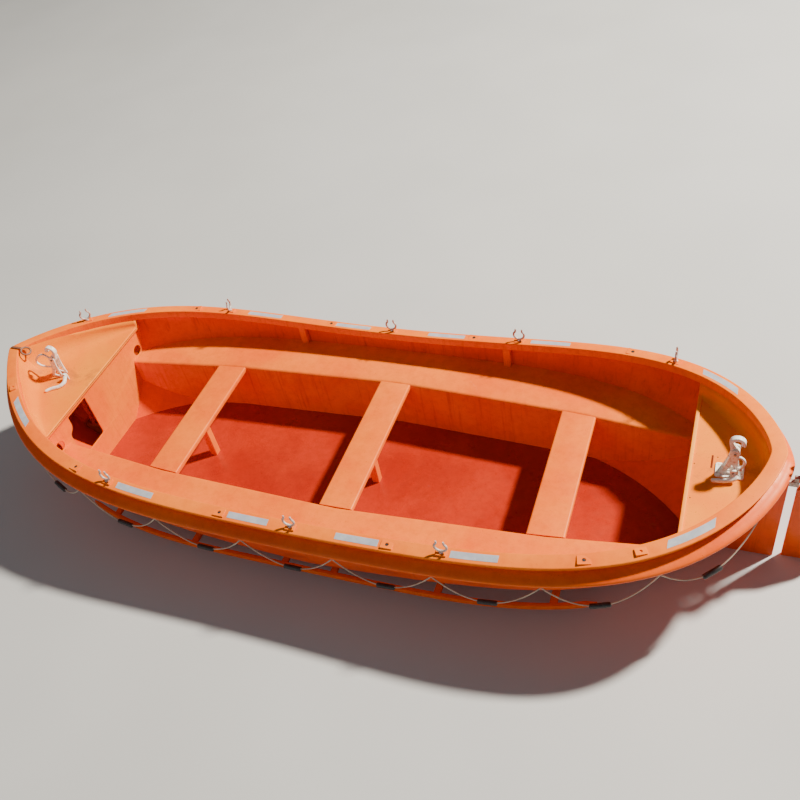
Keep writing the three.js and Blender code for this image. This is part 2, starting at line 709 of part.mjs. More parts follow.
// Crutches that stand in the gunwale: five to starboard, three to port
const CRUTCH_BOWL = 40; // radius of the horseshoe's round part
const CRUTCH_RISE = 53; // its centre above the seat
const CRUTCHES = [
  // side, index in CRUTCH_X, degrees that it is turned in its seat
  [1, 0, 0],
  [1, 1, 98],
  [1, 2, 0],
  [1, 3, 0],
  [1, 4, 114],
  [-1, 1, 0],
  [-1, 2, 0],
  [-1, 3, 0],
];
CRUTCHES.forEach(([side, index, turned]) => {
  const x = CRUTCH_X[index];
  const [, y, z] = capPoint(x, CRUTCH_INSET, side);
  const bowl = [-230, -200, -170, -140, -115, -90, -65, -40, -10, 20, 50].map((degrees) => {
    const angle = (degrees * Math.PI) / 180;
    return [CRUTCH_BOWL * Math.cos(angle), 0, CRUTCH_BOWL * Math.sin(angle)];
  });
  const horns = [-1, 1].map((way) => [way * (CRUTCH_BOWL - 16), 0, CRUTCH_BOWL + 14]);
  const fork = tube([horns[0], ...bowl, horns[1]], 8, 8, 22);
  const collar = upright(0, 0, 15, -CRUTCH_RISE, -CRUTCH_RISE + 11, 12);
  const shank = upright(0, 0, SHANK_RADIUS, -CRUTCH_RISE - 48, -CRUTCH_RISE + 10, 12);
  const seat = z + CRUTCH_SEAT[2] + GAP + CRUTCH_RISE;
  addPart(
    `crutch_${side < 0 ? "port" : "starboard"}_${index + 1}`,
    join(fork, collar, shank)
      .rotate([0, 0, (side * planAngle(x, CRUTCH_INSET) * 180) / Math.PI + turned])
      .translate([x, y, seat]),
    wornMetal,
  );
});

// Mooring ring at the bow, on a bar that is fixed to the tip of the gunwale's cap
const RING = { x: -2790, y: 5, z: 962, radius: 37, wire: 8, tilt: 30 };
const RING_SEAT = 0.6; // clearance between the bar and the cap
const capForm = sheerRing([
  [0, -60],
  [0, -4 + RING_SEAT],
  [4, RING_SEAT],
  [CAP_WIDTH - 4, CAP_CAMBER + RING_SEAT],
  [CAP_WIDTH + RING_SEAT, CAP_CAMBER - 4 + RING_SEAT],
  [CAP_WIDTH + RING_SEAT, -60],
]);
const ringBar = box([-2925, -2824], [RING.y - 9, RING.y + 9], [975, 991]).subtract(capForm);
const ringGeometry = new THREE.TorusGeometry(RING.radius, RING.wire, 10, 24);
ringGeometry.rotateY((RING.tilt * Math.PI) / 180);
addPart(
  "bow_ring",
  ringBar.add(toSolid(ringGeometry.translate(RING.x, RING.y, RING.z))),
  wornMetal,
);

// Grab line in bights under the strake, with a float in the middle of each bight
const LINE_RADIUS = 5;
const BIGHT_SAG = 205;
const FLOAT_RADIUS = 17;
const FLOAT_LENGTH = 130;
["port", "starboard"].forEach((name, i) => {
  const route = linePlan(i === 0 ? -1 : 1);
  const perBight = 6;
  const points = [];
  for (let k = 0; k <= BIGHTS * perBight; k++) {
    const place = route.getPointAt(k / (BIGHTS * perBight));
    const across = (2 * (k % perBight)) / perBight - 1;
    const sag = k % perBight === 0 ? 0 : BIGHT_SAG * (1 - across * across);
    points.push([place.x, place.y, sheer(place.x) - EYE_DEPTH - GAP - LINE_RADIUS - sag]);
  }
  let line = tube(points, LINE_RADIUS, 8, 78);
  for (let k = 0; k < BIGHTS; k++) {
    const middle = points[k * perBight + perBight / 2];
    const before = new THREE.Vector3(...points[k * perBight + perBight / 2 - 1]);
    const after = new THREE.Vector3(...points[k * perBight + perBight / 2 + 1]);
    const along = after.sub(before).normalize();
    const turn = new THREE.Quaternion().setFromUnitVectors(new THREE.Vector3(0, 1, 0), along);
    const geometry = new THREE.CylinderGeometry(FLOAT_RADIUS, FLOAT_RADIUS, FLOAT_LENGTH, 10);
    geometry.applyQuaternion(turn).translate(...middle);
    line = line.add(toSolid(geometry));
  }
  addPart(`grab_line_${name}`, line, rope);
});

export default boat;
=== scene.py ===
"""An open, double-ended lifeboat of moulded glass fibre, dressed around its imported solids.

Metres. The bow points to -X, port is -Y, +Z is up, and the waterline is z = 0.
"""

import math

import bmesh
import bpy
import numpy as np
from mathutils import Matrix, Vector


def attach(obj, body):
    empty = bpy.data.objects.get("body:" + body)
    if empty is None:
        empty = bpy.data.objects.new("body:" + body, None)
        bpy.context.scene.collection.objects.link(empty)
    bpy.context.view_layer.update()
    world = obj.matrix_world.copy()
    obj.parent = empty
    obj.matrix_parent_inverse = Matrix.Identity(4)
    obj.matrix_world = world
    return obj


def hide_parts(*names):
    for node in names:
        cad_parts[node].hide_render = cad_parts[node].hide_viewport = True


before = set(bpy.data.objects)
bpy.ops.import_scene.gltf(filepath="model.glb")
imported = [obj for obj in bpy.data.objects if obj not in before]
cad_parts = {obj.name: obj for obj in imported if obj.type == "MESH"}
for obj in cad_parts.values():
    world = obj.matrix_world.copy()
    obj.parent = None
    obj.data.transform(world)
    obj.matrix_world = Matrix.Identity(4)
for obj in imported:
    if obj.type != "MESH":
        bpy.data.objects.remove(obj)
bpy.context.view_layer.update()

# Camera
# The view from high over the port quarter, looking forward and down into the boat.
view_axes = np.array([
    [0.932078, 0.327377, -0.155098],
    [-0.125513, 0.693467, 0.709472],
    [0.339821, -0.641816, 0.687455],
])
camera_data = bpy.data.cameras.new("camera")
camera_data.lens = 38.87
camera = bpy.data.objects.new("camera", camera_data)
placing = np.eye(4)
placing[:3, :3] = view_axes.T
placing[:3, 3] = (2.5026, -3.7979, 5.0517)
camera.matrix_world = Matrix(placing.tolist())
bpy.context.scene.collection.objects.link(camera)
bpy.context.scene.camera = camera

# Hull
# One moulding of glass fibre, about 12 mm thick, with orange gelcoat outside and in.
# It is laid up in a mould as a single skin, from the keel up to the gunwale's underside.
HALF_LENGTH = 2.945
HALF_BEAM = 1.042
FREEBOARD = 0.700
SHEER_RISE = 0.283
BOW_POWER, BOW_FULLNESS = 4.48, 0.91
STERN_POWER, STERN_FULLNESS = 5.0, 0.68
HULL_INSET = 0.022
HULL_WALL = 0.012
HULL_BOTTOM = -0.220
GUNWALE_DEPTH = 0.052
LEVEL_SHARE = 0.45


def sheer(x):
    """Height of the gunwale's edge: a parabola along the boat, lowest amidships."""
    return FREEBOARD + SHEER_RISE * (x / HALF_LENGTH) ** 2


def half_breadth(x, inset):
    """Half width of the plan outline `inset` inside the gunwale's edge: one minus the share
    of the half length to a power, the whole raised to a fullness, each end with its own."""
    share = np.clip(np.abs(x) / (HALF_LENGTH - inset), 0, 1)
    power = np.where(x < 0, BOW_POWER, STERN_POWER)
    fullness = np.where(x < 0, BOW_FULLNESS, STERN_FULLNESS)
    return (HALF_BEAM - inset) * (1 - share ** power) ** fullness


def hull_top(x):
    """Height of the hull skin's upper edge, just under the gunwale."""
    return sheer(x) - GUNWALE_DEPTH - 0.0003


def keel_line(x, inset):
    """Lowest height of the section at x: level amidships, then a quarter of a rounded
    ellipse up to the stem."""
    share = np.clip(np.abs(x) / (HALF_LENGTH - HULL_INSET - inset), 0, 1)
    along = np.clip((share - LEVEL_SHARE) / (1 - LEVEL_SHARE), 0, 1)
    bottom = HULL_BOTTOM + inset
    return bottom + (hull_top(x) - bottom) * (1 - np.sqrt(np.clip(1 - along ** 2.4, 0, 1)))


def section_shape(x):
    """Bilge and sharpness powers of the section at x: round amidships, a vee at the ends."""
    end = np.abs(x) / HALF_LENGTH
    return 2.6 - 1.1 * end, 0.5 + 0.5 * end ** 1.5


def hull_side(x, z, inset):
    """Half width of the hull at the height z, `inset` inside its outer face."""
    bottom = keel_line(x, inset)
    height = np.clip((z - bottom) / np.maximum(hull_top(x) - bottom, 1e-6), 0, 1)
    bilge, sharpness = section_shape(x)
    return half_breadth(x, HULL_INSET + inset) * (1 - (1 - height) ** bilge) ** sharpness


def hull_height(x, width, inset):
    """Height at which the hull has the half width `width`: hull_side turned round."""
    bottom = keel_line(x, inset)
    bilge, sharpness = section_shape(x)
    top = np.maximum(half_breadth(x, HULL_INSET + inset), 1e-6)
    share = np.clip(width / top, 0, 1) ** (1 / sharpness)
    return bottom + (hull_top(x) - bottom) * (1 - (1 - share) ** (1 / bilge))


def toward_tips(count):
    """Shares from -1 to 1 that lie closer together towards both ends, as a sine does."""
    return np.sin(np.linspace(-1, 1, count) * math.pi / 2)


TO_PORT = (1, -1, 1)
SIDES = ((-1, "port"), (1, "starboard"))


def grid_of(x, y, z):
    """A grid of points from three arrays that may each be constant along some directions."""
    return np.stack(np.broadcast_arrays(x, y, z), axis=-1).astype(float)


def surface(name, points, around=True, along=False, caps=False, weld=0.0, sharp=40,
            second_from=None, closed=True):
    """Quads over a grid of points (rows, columns, 3). `around` joins the last column to the
    first, `along` the last row to the first, and `caps` fills the first and last row.
    Columns from `second_from` on get the second material."""
    rows, columns = points.shape[:2]
    index = np.arange(rows * columns).reshape(rows, columns)
    wide = np.concatenate([index, index[:, :1]], axis=1) if around else index
    full = np.concatenate([wide, wide[:1]], axis=0) if along else wide
    quads = np.stack([full[:-1, :-1], full[1:, :-1], full[1:, 1:], full[:-1, 1:]], axis=-1)
    faces = quads.reshape(-1, 4).tolist()
    slots = np.zeros(quads.shape[:2], int)
    if second_from is not None:
        slots[:, second_from:] = 1
    if caps:
        faces += [index[0].tolist(), index[-1][::-1].tolist()]
    mesh = bpy.data.meshes.new(name)
    mesh.from_pydata(points.reshape(-1, 3), [], faces)
    marks = np.zeros(len(faces), int)
    marks[:slots.size] = slots.ravel()
    mesh.polygons.foreach_set("material_index", marks)
    return finish_mesh(name, mesh, weld, sharp, closed)


def finish_mesh(name, mesh, weld, sharp, closed):
    """Merges doubles, turns the faces outwards, and shades smooth up to the angle `sharp`."""
    work = bmesh.new()
    work.from_mesh(mesh)
    if weld:
        bmesh.ops.remove_doubles(work, verts=work.verts, dist=weld)
        bmesh.ops.dissolve_degenerate(work, dist=weld, edges=work.edges)
    if closed:
        bmesh.ops.recalc_face_normals(work, faces=work.faces)
    work.to_mesh(mesh)
    work.free()
    mesh.shade_smooth()
    mesh.set_sharp_from_angle(angle=math.radians(sharp))
    piece = bpy.data.objects.new(name, mesh)
    bpy.context.scene.collection.objects.link(piece)
    return piece


def fasten(piece, coat, *nodes, body="boat", second=None):
    """Gives a piece its finish, its body and the solids it stands for."""
    piece.data.materials.clear()
    piece.data.materials.append(coat.material)
    if second:
        piece.data.materials.append(second.material)
    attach(piece, body)
    if nodes:
        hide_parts(*nodes)
    return piece


class Finish:
    """A node material that is built from the shader backwards, one layer at a time, and the
    slot of the record that it belongs to."""

    def __init__(self, name, slot=None, **shader):
        self.slot = slot
        self.material = bpy.data.materials.new(name)
        self.material.use_nodes = True
        self.tree = self.material.node_tree
        self.shader = self.tree.nodes["Principled BSDF"]
        for socket, value in shader.items():
            self.shader.inputs[socket.replace("_", " ")].default_value = value
        self.place = self.tree.nodes.new("ShaderNodeTexCoord").outputs["Object"]

    def add(self, kind, outlet, inputs, **settings):
        """A node of one kind, its settings and inputs set, and its outlet returned."""
        made = self.tree.nodes.new("ShaderNode" + kind)
        for setting, value in settings.items():
            setattr(made, setting, value)
        for socket, value in inputs.items():
            if isinstance(value, bpy.types.NodeSocket):
                self.tree.links.new(value, made.inputs[socket])
            else:
                made.inputs[socket].default_value = value
        return made.outputs[outlet]

    def moved(self, scale, turn=(0, 0, 0)):
        """Object coordinates that are turned and scaled."""
        return self.add("Mapping", "Vector", {
            "Vector": self.place, "Scale": scale, "Rotation": turn,
        })

    def noise(self, scale, detail, rough=0.6, twist=0.0, vector=None):
        return self.add("TexNoise", "Fac", {
            "Vector": vector or self.place, "Scale": scale, "Detail": detail,
            "Roughness": rough, "Distortion": twist,
        })

    def ramp(self, value, low, high, bottom=0.0, top=1.0):
        """The value between low and high, spread out smoothly from bottom to top."""
        return self.add("MapRange", "Result", {
            "Value": value, "From Min": low, "From Max": high, "To Min": bottom, "To Max": top,
        }, interpolation_type="SMOOTHSTEP")

    def math(self, operation, first, second=0.0):
        return self.add("Math", "Value", {0: first, 1: second}, operation=operation)

    def mix(self, share, under, over):
        """One colour laid over another by a share."""
        under, over = (
            (*colour, 1.0) if isinstance(colour, tuple) else colour for colour in (under, over)
        )
        return self.add("Mix", 2, {0: share, 6: under, 7: over}, data_type="RGBA")

    def axis(self, which):
        return self.add("SeparateXYZ", which, {0: self.place})

    def facing_up(self):
        """How far the surface faces up, from -1 to 1."""
        normal = self.tree.nodes.new("ShaderNodeNewGeometry").outputs["Normal"]
        return self.add("SeparateXYZ", "Z", {0: normal})

    def give(self, socket, value):
        self.tree.links.new(value, self.shader.inputs[socket])

    def bump(self, height, strength, distance):
        self.give("Normal", self.add("Bump", "Normal", {
            "Strength": strength, "Distance": distance, "Height": height,
        }))


WARM_GLOSS = (1.0, 0.74, 0.50, 1.0)


def gelcoat(name, slot, fresh, faded, stain, stain_share, wear=0.3, rough=(0.32, 0.55),
            gloss=0.35):
    """Weathered gelcoat: clouded between a fresh and a faded colour, with streaks that run
    down upright faces, specks of dirt, pale scuffs and a soft ripple."""
    coat = Finish(name, slot, Specular_IOR_Level=gloss, Specular_Tint=WARM_GLOSS)
    clouds = coat.ramp(coat.noise(1.7, 4, 0.55, 0.4), 0.32, 0.68)
    colour = coat.mix(clouds, fresh, faded)
    mottle = coat.ramp(coat.noise(17, 7, 0.7), 0.35, 0.75, 0.0, 0.25)
    colour = coat.mix(mottle, colour, stain)
    upright = coat.ramp(coat.math("ABSOLUTE", coat.facing_up()), 0.25, 0.75, 1.0, 0.15)
    runs = coat.ramp(coat.noise(1.0, 6, 0.65, 0.2, coat.moved((26, 26, 1.3))), 0.5, 0.78)
    colour = coat.mix(
        coat.math("MULTIPLY", coat.math("MULTIPLY", runs, upright), stain_share), colour, stain
    )
    specks = coat.ramp(coat.noise(95, 3, 0.6), 0.66, 0.74, 0.0, 0.5)
    colour = coat.mix(specks, colour, tuple(0.45 * c for c in stain))
    scuffs = coat.ramp(
        coat.noise(6, 9, 0.75, 1.2, coat.moved((1.0, 1.0, 2.2))), 0.62, 0.72, 0.0, wear
    )
    colour = coat.mix(scuffs, colour, tuple(min(0.95, 0.8 * c + 0.12) for c in faded))
    coat.give("Base Color", colour)
    coat.give("Roughness", coat.ramp(coat.noise(9, 6, 0.7), 0.3, 0.7, *rough))
    ripple = coat.math("ADD", coat.noise(7, 2, 0.4), coat.math("MULTIPLY", specks, 0.2))
    coat.bump(ripple, 0.25, 0.004)
    return coat


hull_coat = gelcoat("hull_gelcoat", "hull_orange", (0.78, 0.062, 0.003), (0.84, 0.095, 0.006),
                    (0.40, 0.030, 0.005), 0.6)
# Painted shade: the hull's inside is a darker, redder copy of the gelcoat, as it looks in the shade
# of the gunwale.
inner_shade_coat = gelcoat("inner_gelcoat_painted_shade", "hull_orange", (0.38, 0.012, 0.001), (0.48, 0.023, 0.002),
                     (0.22, 0.008, 0.001), 0.5, 0.15)

HULL_STATIONS = 141
SECTION_POINTS = 38


def section_loops(inset):
    """Grid of the hull's form: a sine-spaced row of stations, and at each station the
    section's points from port edge under the keel to starboard edge."""
    x = toward_tips(HULL_STATIONS)[:, None] * (HALF_LENGTH - HULL_INSET - inset)
    height = np.linspace(0, 1, SECTION_POINTS)[None, :] ** 2.3
    bilge, sharpness = section_shape(x)
    bottom = keel_line(x, inset)
    y = half_breadth(x, HULL_INSET + inset) * (1 - (1 - height) ** bilge) ** sharpness
    z = bottom + (hull_top(x) - bottom) * height
    starboard = grid_of(x, y, z)
    return np.concatenate([starboard[:, :0:-1] * TO_PORT, starboard], axis=1)


skin = np.concatenate([section_loops(0.0), section_loops(HULL_WALL)[:, ::-1]], axis=1)
hull = surface("hull_skin", skin, weld=2e-5, sharp=50, second_from=2 * SECTION_POINTS - 2)
fasten(hull, hull_coat, "hull_shell", second=inner_shade_coat)

# Keel, stem and stern post
# A moulded keel bar runs along the bottom and up the rounded stem. Aft it deepens into a skeg
# with a straight post, which carries two steel-bushed gudgeons for the rudder.
KEEL_DEPTH = 0.045
KEEL_HALF = 0.030
KEEL_REACH = 0.93  # share of the way to the stern, where the skeg takes over


def rounded(corners, radius, steps=4):
    """A closed outline whose corners are cut by short curves: each corner's curve is the
    parabola from a point before it to a point after it that bends towards the corner."""
    corners = np.asarray(corners, float)
    before = np.roll(corners, 1, axis=0) - corners
    after = np.roll(corners, -1, axis=0) - corners
    reach = lambda d: np.minimum(radius, 0.45 * np.linalg.norm(d, axis=1))[:, None]
    unit = lambda d: d / np.linalg.norm(d, axis=1)[:, None]
    start = corners + unit(before) * reach(before)
    end = corners + unit(after) * reach(after)
    t = np.linspace(0, 1, steps + 1)[None, :, None]
    start, corners, end = start[:, None], corners[:, None], end[:, None]
    curve = (1 - t) ** 2 * start + 2 * t * (1 - t) * corners + t ** 2 * end
    return curve.reshape(-1, curve.shape[-1])


def rounded_box(across, up, radius):
    """A closed rectangle between two limits each way, with rounded corners."""
    (left, right), (low, high) = across, up
    return rounded([(left, low), (right, low), (right, high), (left, high)], radius)


def keel_bar():
    """A rounded bar carried along the hull's bottom line: its lower face follows the line
    45 mm outside the hull, and its upper face the height where the hull is as wide."""
    share = np.sin(np.linspace(-1, KEEL_REACH, 150) * math.pi / 2)[:, None]
    outer_x = share * (HALF_LENGTH - HULL_INSET + KEEL_DEPTH)
    inner_x = share * (HALF_LENGTH - HULL_INSET - 0.004)
    outer_z = keel_line(outer_x, -KEEL_DEPTH)
    inner_z = hull_height(inner_x, KEEL_HALF, 0.0) + 0.004
    side, depth = rounded_box((-1, 1), (0, 1), 0.25).T
    x = outer_x * (1 - depth) + inner_x * depth
    z = outer_z * (1 - depth) + inner_z * depth
    return grid_of(x, KEEL_HALF * side, z)


keel = surface("keel_bar", keel_bar(), caps=True, weld=1e-5)
fasten(keel, hull_coat, "keel_and_posts")

SKEG_START = 1.25
POST_FRONT, POST_BACK = 2.905, 2.985
POST_TOP = 0.815
KEEL_BOTTOM = HULL_BOTTOM - KEEL_DEPTH
RUDDER_X = 3.025
GUDGEONS = ((-0.150, -0.110), (0.700, 0.740))


def cut_plate(name, outlines, faces, edge, upright=True):
    """A flat plate from closed outlines, the outermost first and then its holes, between two
    faces, with rounded edges. Upright plates lie in x and z, the others in y and z."""
    curve = bpy.data.curves.new(name, "CURVE")
    curve.dimensions = "2D"
    curve.fill_mode = "BOTH"
    curve.extrude = abs(faces[1] - faces[0]) / 2 - edge
    curve.bevel_depth = edge
    curve.bevel_resolution = 2
    curve.offset = -edge
    for outline in outlines:
        outline = np.asarray(outline, float)
        spline = curve.splines.new("POLY")
        spline.points.add(len(outline) - 1)
        spline.points.foreach_set("co", np.c_[outline, 0 * outline].ravel())
        spline.use_cyclic_u = True
    holder = bpy.data.objects.new(name, curve)
    bpy.context.scene.collection.objects.link(holder)
    flat = bpy.data.meshes.new_from_object(holder)
    bpy.data.objects.remove(holder)
    flat.name = name
    middle = (faces[0] + faces[1]) / 2
    if upright:
        turn = Matrix(((1, 0, 0, 0), (0, 0, -1, middle), (0, 1, 0, 0), (0, 0, 0, 1)))
    else:
        turn = Matrix(((0, 0, 1, middle), (1, 0, 0, 0), (0, 1, 0, 0), (0, 0, 0, 1)))
    flat.transform(turn)
    return finish_mesh(name, flat, 1e-6, 35, True)


bottom_x = np.linspace(POST_FRONT, SKEG_START, 60)
skeg_outline = np.concatenate([
    [(SKEG_START, KEEL_BOTTOM), (POST_BACK, KEEL_BOTTOM), (POST_BACK, POST_TOP),
     (POST_FRONT, POST_TOP)],
    np.stack([bottom_x, hull_height(bottom_x, KEEL_HALF, 0.0) + 0.003], axis=1),
])
skeg = cut_plate("skeg_and_post", [skeg_outline], (-KEEL_HALF, KEEL_HALF), 0.008)
fasten(skeg, hull_coat)


def worn_metal(name, slot, paint, bare, rust, share=0.5, metal=0.5):
    """Painted or galvanised steel: paint that is chipped to bare metal in patches, with rust
    that spreads around the chips and in fine specks."""
    coat = Finish(name, slot, Metallic=metal)
    chips = coat.ramp(coat.noise(55, 8, 0.72, 0.6), 0.62 - 0.25 * share, 0.70 - 0.22 * share)
    halo = coat.ramp(coat.noise(55, 8, 0.72, 0.6), 0.52 - 0.25 * share, 0.66 - 0.22 * share)
    cloud = coat.ramp(coat.noise(12, 5, 0.6), 0.35, 0.7)
    tone = coat.mix(coat.math("MULTIPLY", cloud, 0.5), paint, tuple(0.72 * c for c in paint))
    tone = coat.mix(coat.math("MULTIPLY", halo, 0.75), tone, rust)
    tone = coat.mix(coat.math("MULTIPLY", chips, 0.8), tone, bare)
    coat.give("Base Color", tone)
    coat.give("Roughness", coat.ramp(cloud, 0.0, 1.0, 0.38, 0.68))
    coat.bump(coat.math("SUBTRACT", cloud, chips), 0.5, 0.0006)
    return coat


dull_steel = worn_metal("dull_steel", "worn_steel", (0.42, 0.36, 0.33), (0.30, 0.22, 0.18),
                        (0.20, 0.07, 0.03))


def full_turn(count):
    """Angles of points that are spread evenly round a circle."""
    return np.linspace(0, 2 * math.pi, count, endpoint=False)


def travelled(path):
    """Distance along a path at each of its points."""
    steps = np.linalg.norm(np.diff(path, axis=0), axis=1)
    return np.concatenate([[0], np.cumsum(steps)])


def rod(name, path, radius, sides, side=(0.0, 1.0, 0.0), lobes=0, twist=0.0):
    """A round bar carried along a path. The ring at each point lies across the path's
    direction; `side` is a direction that the path never takes. `lobes` and `twist` give a
    laid rope its strands: the radius swells and sinks with the angle plus the distance."""
    path = np.asarray(path, float)
    ahead = np.gradient(path, axis=0)
    ahead /= np.linalg.norm(ahead, axis=1)[:, None]
    across = np.cross(ahead, np.asarray(side, float))
    across /= np.linalg.norm(across, axis=1)[:, None]
    upward = np.cross(across, ahead)
    angle = full_turn(sides)[None, :]
    size = np.broadcast_to(np.asarray(radius, float), (len(path),))[:, None] + 0 * angle
    if lobes:
        wave = np.abs(np.cos(lobes / 2 * (angle + twist * travelled(path)[:, None])))
        size = size * (0.84 + 0.16 * wave)
    ring = (
        np.cos(angle)[..., None] * across[:, None] + np.sin(angle)[..., None] * upward[:, None]
    )
    return surface(name, path[:, None] + size[..., None] * ring, caps=True)


def smooth_path(points, steps):
    """A cubic through the points, with `steps` samples a span: each span's Hermite curve
    takes its slopes from the points on either side."""
    points = np.asarray(points, float)
    slope = np.gradient(points, axis=0)
    t = np.linspace(0, 1, steps, endpoint=False)[None, :, None]
    a, b = points[:-1, None], points[1:, None]
    m, n = slope[:-1, None], slope[1:, None]
    curve = (
        (2 * t ** 3 - 3 * t ** 2 + 1) * a + (t ** 3 - 2 * t ** 2 + t) * m
        + (3 * t ** 2 - 2 * t ** 3) * b + (t ** 3 - t ** 2) * n
    )
    return np.concatenate([curve.reshape(-1, points.shape[1]), points[-1:]])


for k, (low, high) in enumerate(GUDGEONS):
    front, back = POST_BACK - 0.004, RUDDER_X + 0.018
    lug = [(front, low), (back, low), (back, high), (front, high)]
    fasten(cut_plate(f"gudgeon_{k + 1}", [lug], (-0.016, 0.016), 0.003), dull_steel)

# Gunwale
# A hollow moulded box that stiffens the hull's edge all round, with a sloping cap, rounded
# edges and a straight band inside. It is bonded over the hull's edge.
CAP_WIDTH = 0.092
CAP_CAMBER = 0.015
RING_STATIONS = 150


def both_sides(x, y, z):
    """Rows of points along the starboard side, carried on round the boat to port."""
    starboard = grid_of(x, y, z)
    return np.concatenate([starboard, starboard[:, -2:0:-1] * TO_PORT], axis=1)


def sheer_ring(profile):
    """A ring round the boat: each profile point has an inset from the gunwale's edge and a
    height above the sheer, and runs round the boat as a closed plan outline."""
    profile = np.asarray(profile, float)
    inset = profile[:, :1]
    x = toward_tips(RING_STATIONS)[None, :] * (HALF_LENGTH - inset)
    return both_sides(x, half_breadth(x, inset), sheer(x) + profile[:, 1:])


gunwale_coat = gelcoat("gunwale_gelcoat", "hull_orange", (0.89, 0.150, 0.003), (0.93, 0.210, 0.008),
                       (0.52, 0.060, 0.004), 0.4, 0.35, (0.40, 0.62), 0.25)
cap_profile = rounded([
    (0.0, -0.014), (0.0, -0.001), (CAP_WIDTH, CAP_CAMBER), (CAP_WIDTH, -GUNWALE_DEPTH),
    (HULL_INSET - 0.004, -GUNWALE_DEPTH), (HULL_INSET - 0.004, -0.020),
], 0.007)
gunwale = surface("gunwale_box", sheer_ring(cap_profile), along=True, weld=1e-5, sharp=50)
fasten(gunwale, gunwale_coat, "gunwale")

# Rubbing strake
# A rounded rail, moulded hollow and bonded under the gunwale, that takes the knocks. Its
# lower edge is rubbed through to the pale glass in places.
strake_profile = [
    (0.010, -0.066), (-0.008, -0.078), (-0.022, -0.0855), (-0.036, -0.093), (-0.0455, -0.100),
    (-0.0505, -0.106), (-0.052, -0.113), (-0.0505, -0.121), (-0.046, -0.128),
    (-0.037, -0.1345), (-0.026, -0.139), (-0.005, -0.142),
]


def strake_grid():
    """The strake's outline points as rings round the boat, between an upper and a lower ring
    that lie just inside the hull's outer face."""
    share = toward_tips(RING_STATIONS)[None, :]
    x = share * (HALF_LENGTH - 0.035)
    z = sheer(x) - np.array([[0.061], [0.150]])
    y = np.maximum(hull_side(x, z, 0.005), 0.0) * (np.abs(share) < 1)
    upper, lower = both_sides(x, y, z)
    return np.concatenate([upper[None], sheer_ring(strake_profile), lower[None]])


strake_coat = gelcoat("strake_gelcoat", "hull_orange", (0.80, 0.088, 0.003), (0.85, 0.130, 0.005),
                      (0.42, 0.036, 0.004), 0.5, 0.5)
strake = surface("rubbing_rail", strake_grid(), along=True, weld=1e-5, sharp=60)
fasten(strake, strake_coat, "rubbing_strake")

# Side benches
# Seat tops that are also the lids of the four buoyancy tanks a side. Each side is one moulding
# with its front face, rounded along the edge, and two posts stand on it under the gunwale.
BENCH_Z = 0.500
FLOOR_Z = 0.060
BENCH_LINE = np.array([
    # x of each joint between tanks, half distance between the benches there
    (-2.233, 0.478), (-1.300, 0.578), (0.150, 0.630), (1.600, 0.553), (2.423, 0.452),
])
WELL = (-2.2327, 2.4227)
BENCH_POSTS = (-0.780, 0.970)


def bench_edge(x):
    """Half distance between the benches' faces: straight from one joint to the next."""
    return np.interp(x, BENCH_LINE[:, 0], BENCH_LINE[:, 1])


def bench_grid(side):
    """Sections along the boat: from the hull across the top, over the rounded edge, down the
    face to the floor or to the hull, and back up behind along the hull."""
    x = np.sort(np.concatenate([np.linspace(*WELL, 90), BENCH_LINE[1:-1, 0]]))[:, None]
    edge = bench_edge(x)
    foot = np.maximum(FLOOR_Z - 0.02, hull_height(x, edge, HULL_WALL) - 0.004)
    radius = 0.022
    angle = np.linspace(0, math.pi / 2, 7)[None, :]
    over = np.linspace(1, 0, 9)[None, :]
    top_y = edge + radius + (hull_side(x, BENCH_Z, HULL_WALL - 0.005) - edge - radius) * over
    bend_y = edge + radius * (1 - np.sin(angle))
    bend_z = BENCH_Z - radius * (1 - np.cos(angle)) + 0 * x
    down = np.linspace(0, 1, 8)[None, 1:]
    face_z = (BENCH_Z - radius) + (foot - BENCH_Z + radius) * down
    back = np.linspace(0, 1, 9)[None, 1:-1]
    back_z = foot + (BENCH_Z - foot) * back
    back_y = np.maximum(hull_side(x, back_z, HULL_WALL - 0.005), edge + 0.002)
    y = np.concatenate([top_y, bend_y[:, 1:], edge + 0 * face_z, back_y], axis=1)
    z = np.concatenate([BENCH_Z + 0 * top_y, bend_z[:, 1:], face_z, back_z], axis=1)
    return grid_of(x, side * y, z)


def upright_post(name, across, along, heights, radius):
    """A square post with rounded corners, carried straight up."""
    x, y = rounded_box(across, along, radius).T
    return surface(name, grid_of(x, y, np.array(heights)[:, None]), caps=True)


bench_coat = gelcoat("bench_gelcoat", "hull_orange", (0.84, 0.125, 0.003), (0.91, 0.190, 0.008),
                     (0.42, 0.036, 0.003), 0.5, 0.2)
for side, name in SIDES:
    bench = surface(f"bench_{name}", bench_grid(side), caps=True, sharp=35)
    fasten(bench, bench_coat, *(f"bench_tank_{name}_{k}" for k in range(1, 5)))
    for k, x in enumerate(BENCH_POSTS):
        inner = half_breadth(x, 0.084)
        post = upright_post(
            f"bench_post_{name}_{k + 1}", (x - 0.030, x + 0.030),
            sorted((side * inner, side * (inner + 0.045))),
            (BENCH_Z - 0.004, sheer(x) - GUNWALE_DEPTH - 0.001), 0.010)
        fasten(post, bench_coat)

# Floor and thwarts
# A flat floor panel is bonded between the tanks. Three thwarts of hard, glossy moulding rest on
# the tanks' front edges, each on a square pillar.
THWARTS = (-1.300, 0.150, 1.600)
THWART_HALF = 0.125
THWART_DEPTH = 0.045
PILLAR = 0.030

# Painted shade: the floor is coloured the deep dark red of the well's shaded bottom.
floor_shade_coat = gelcoat("floor_gelcoat_painted_shade", "floor_red", (0.34, 0.014, 0.003), (0.44, 0.026, 0.006),
                     (0.14, 0.006, 0.002), 0.4, 0.15, (0.24, 0.42))


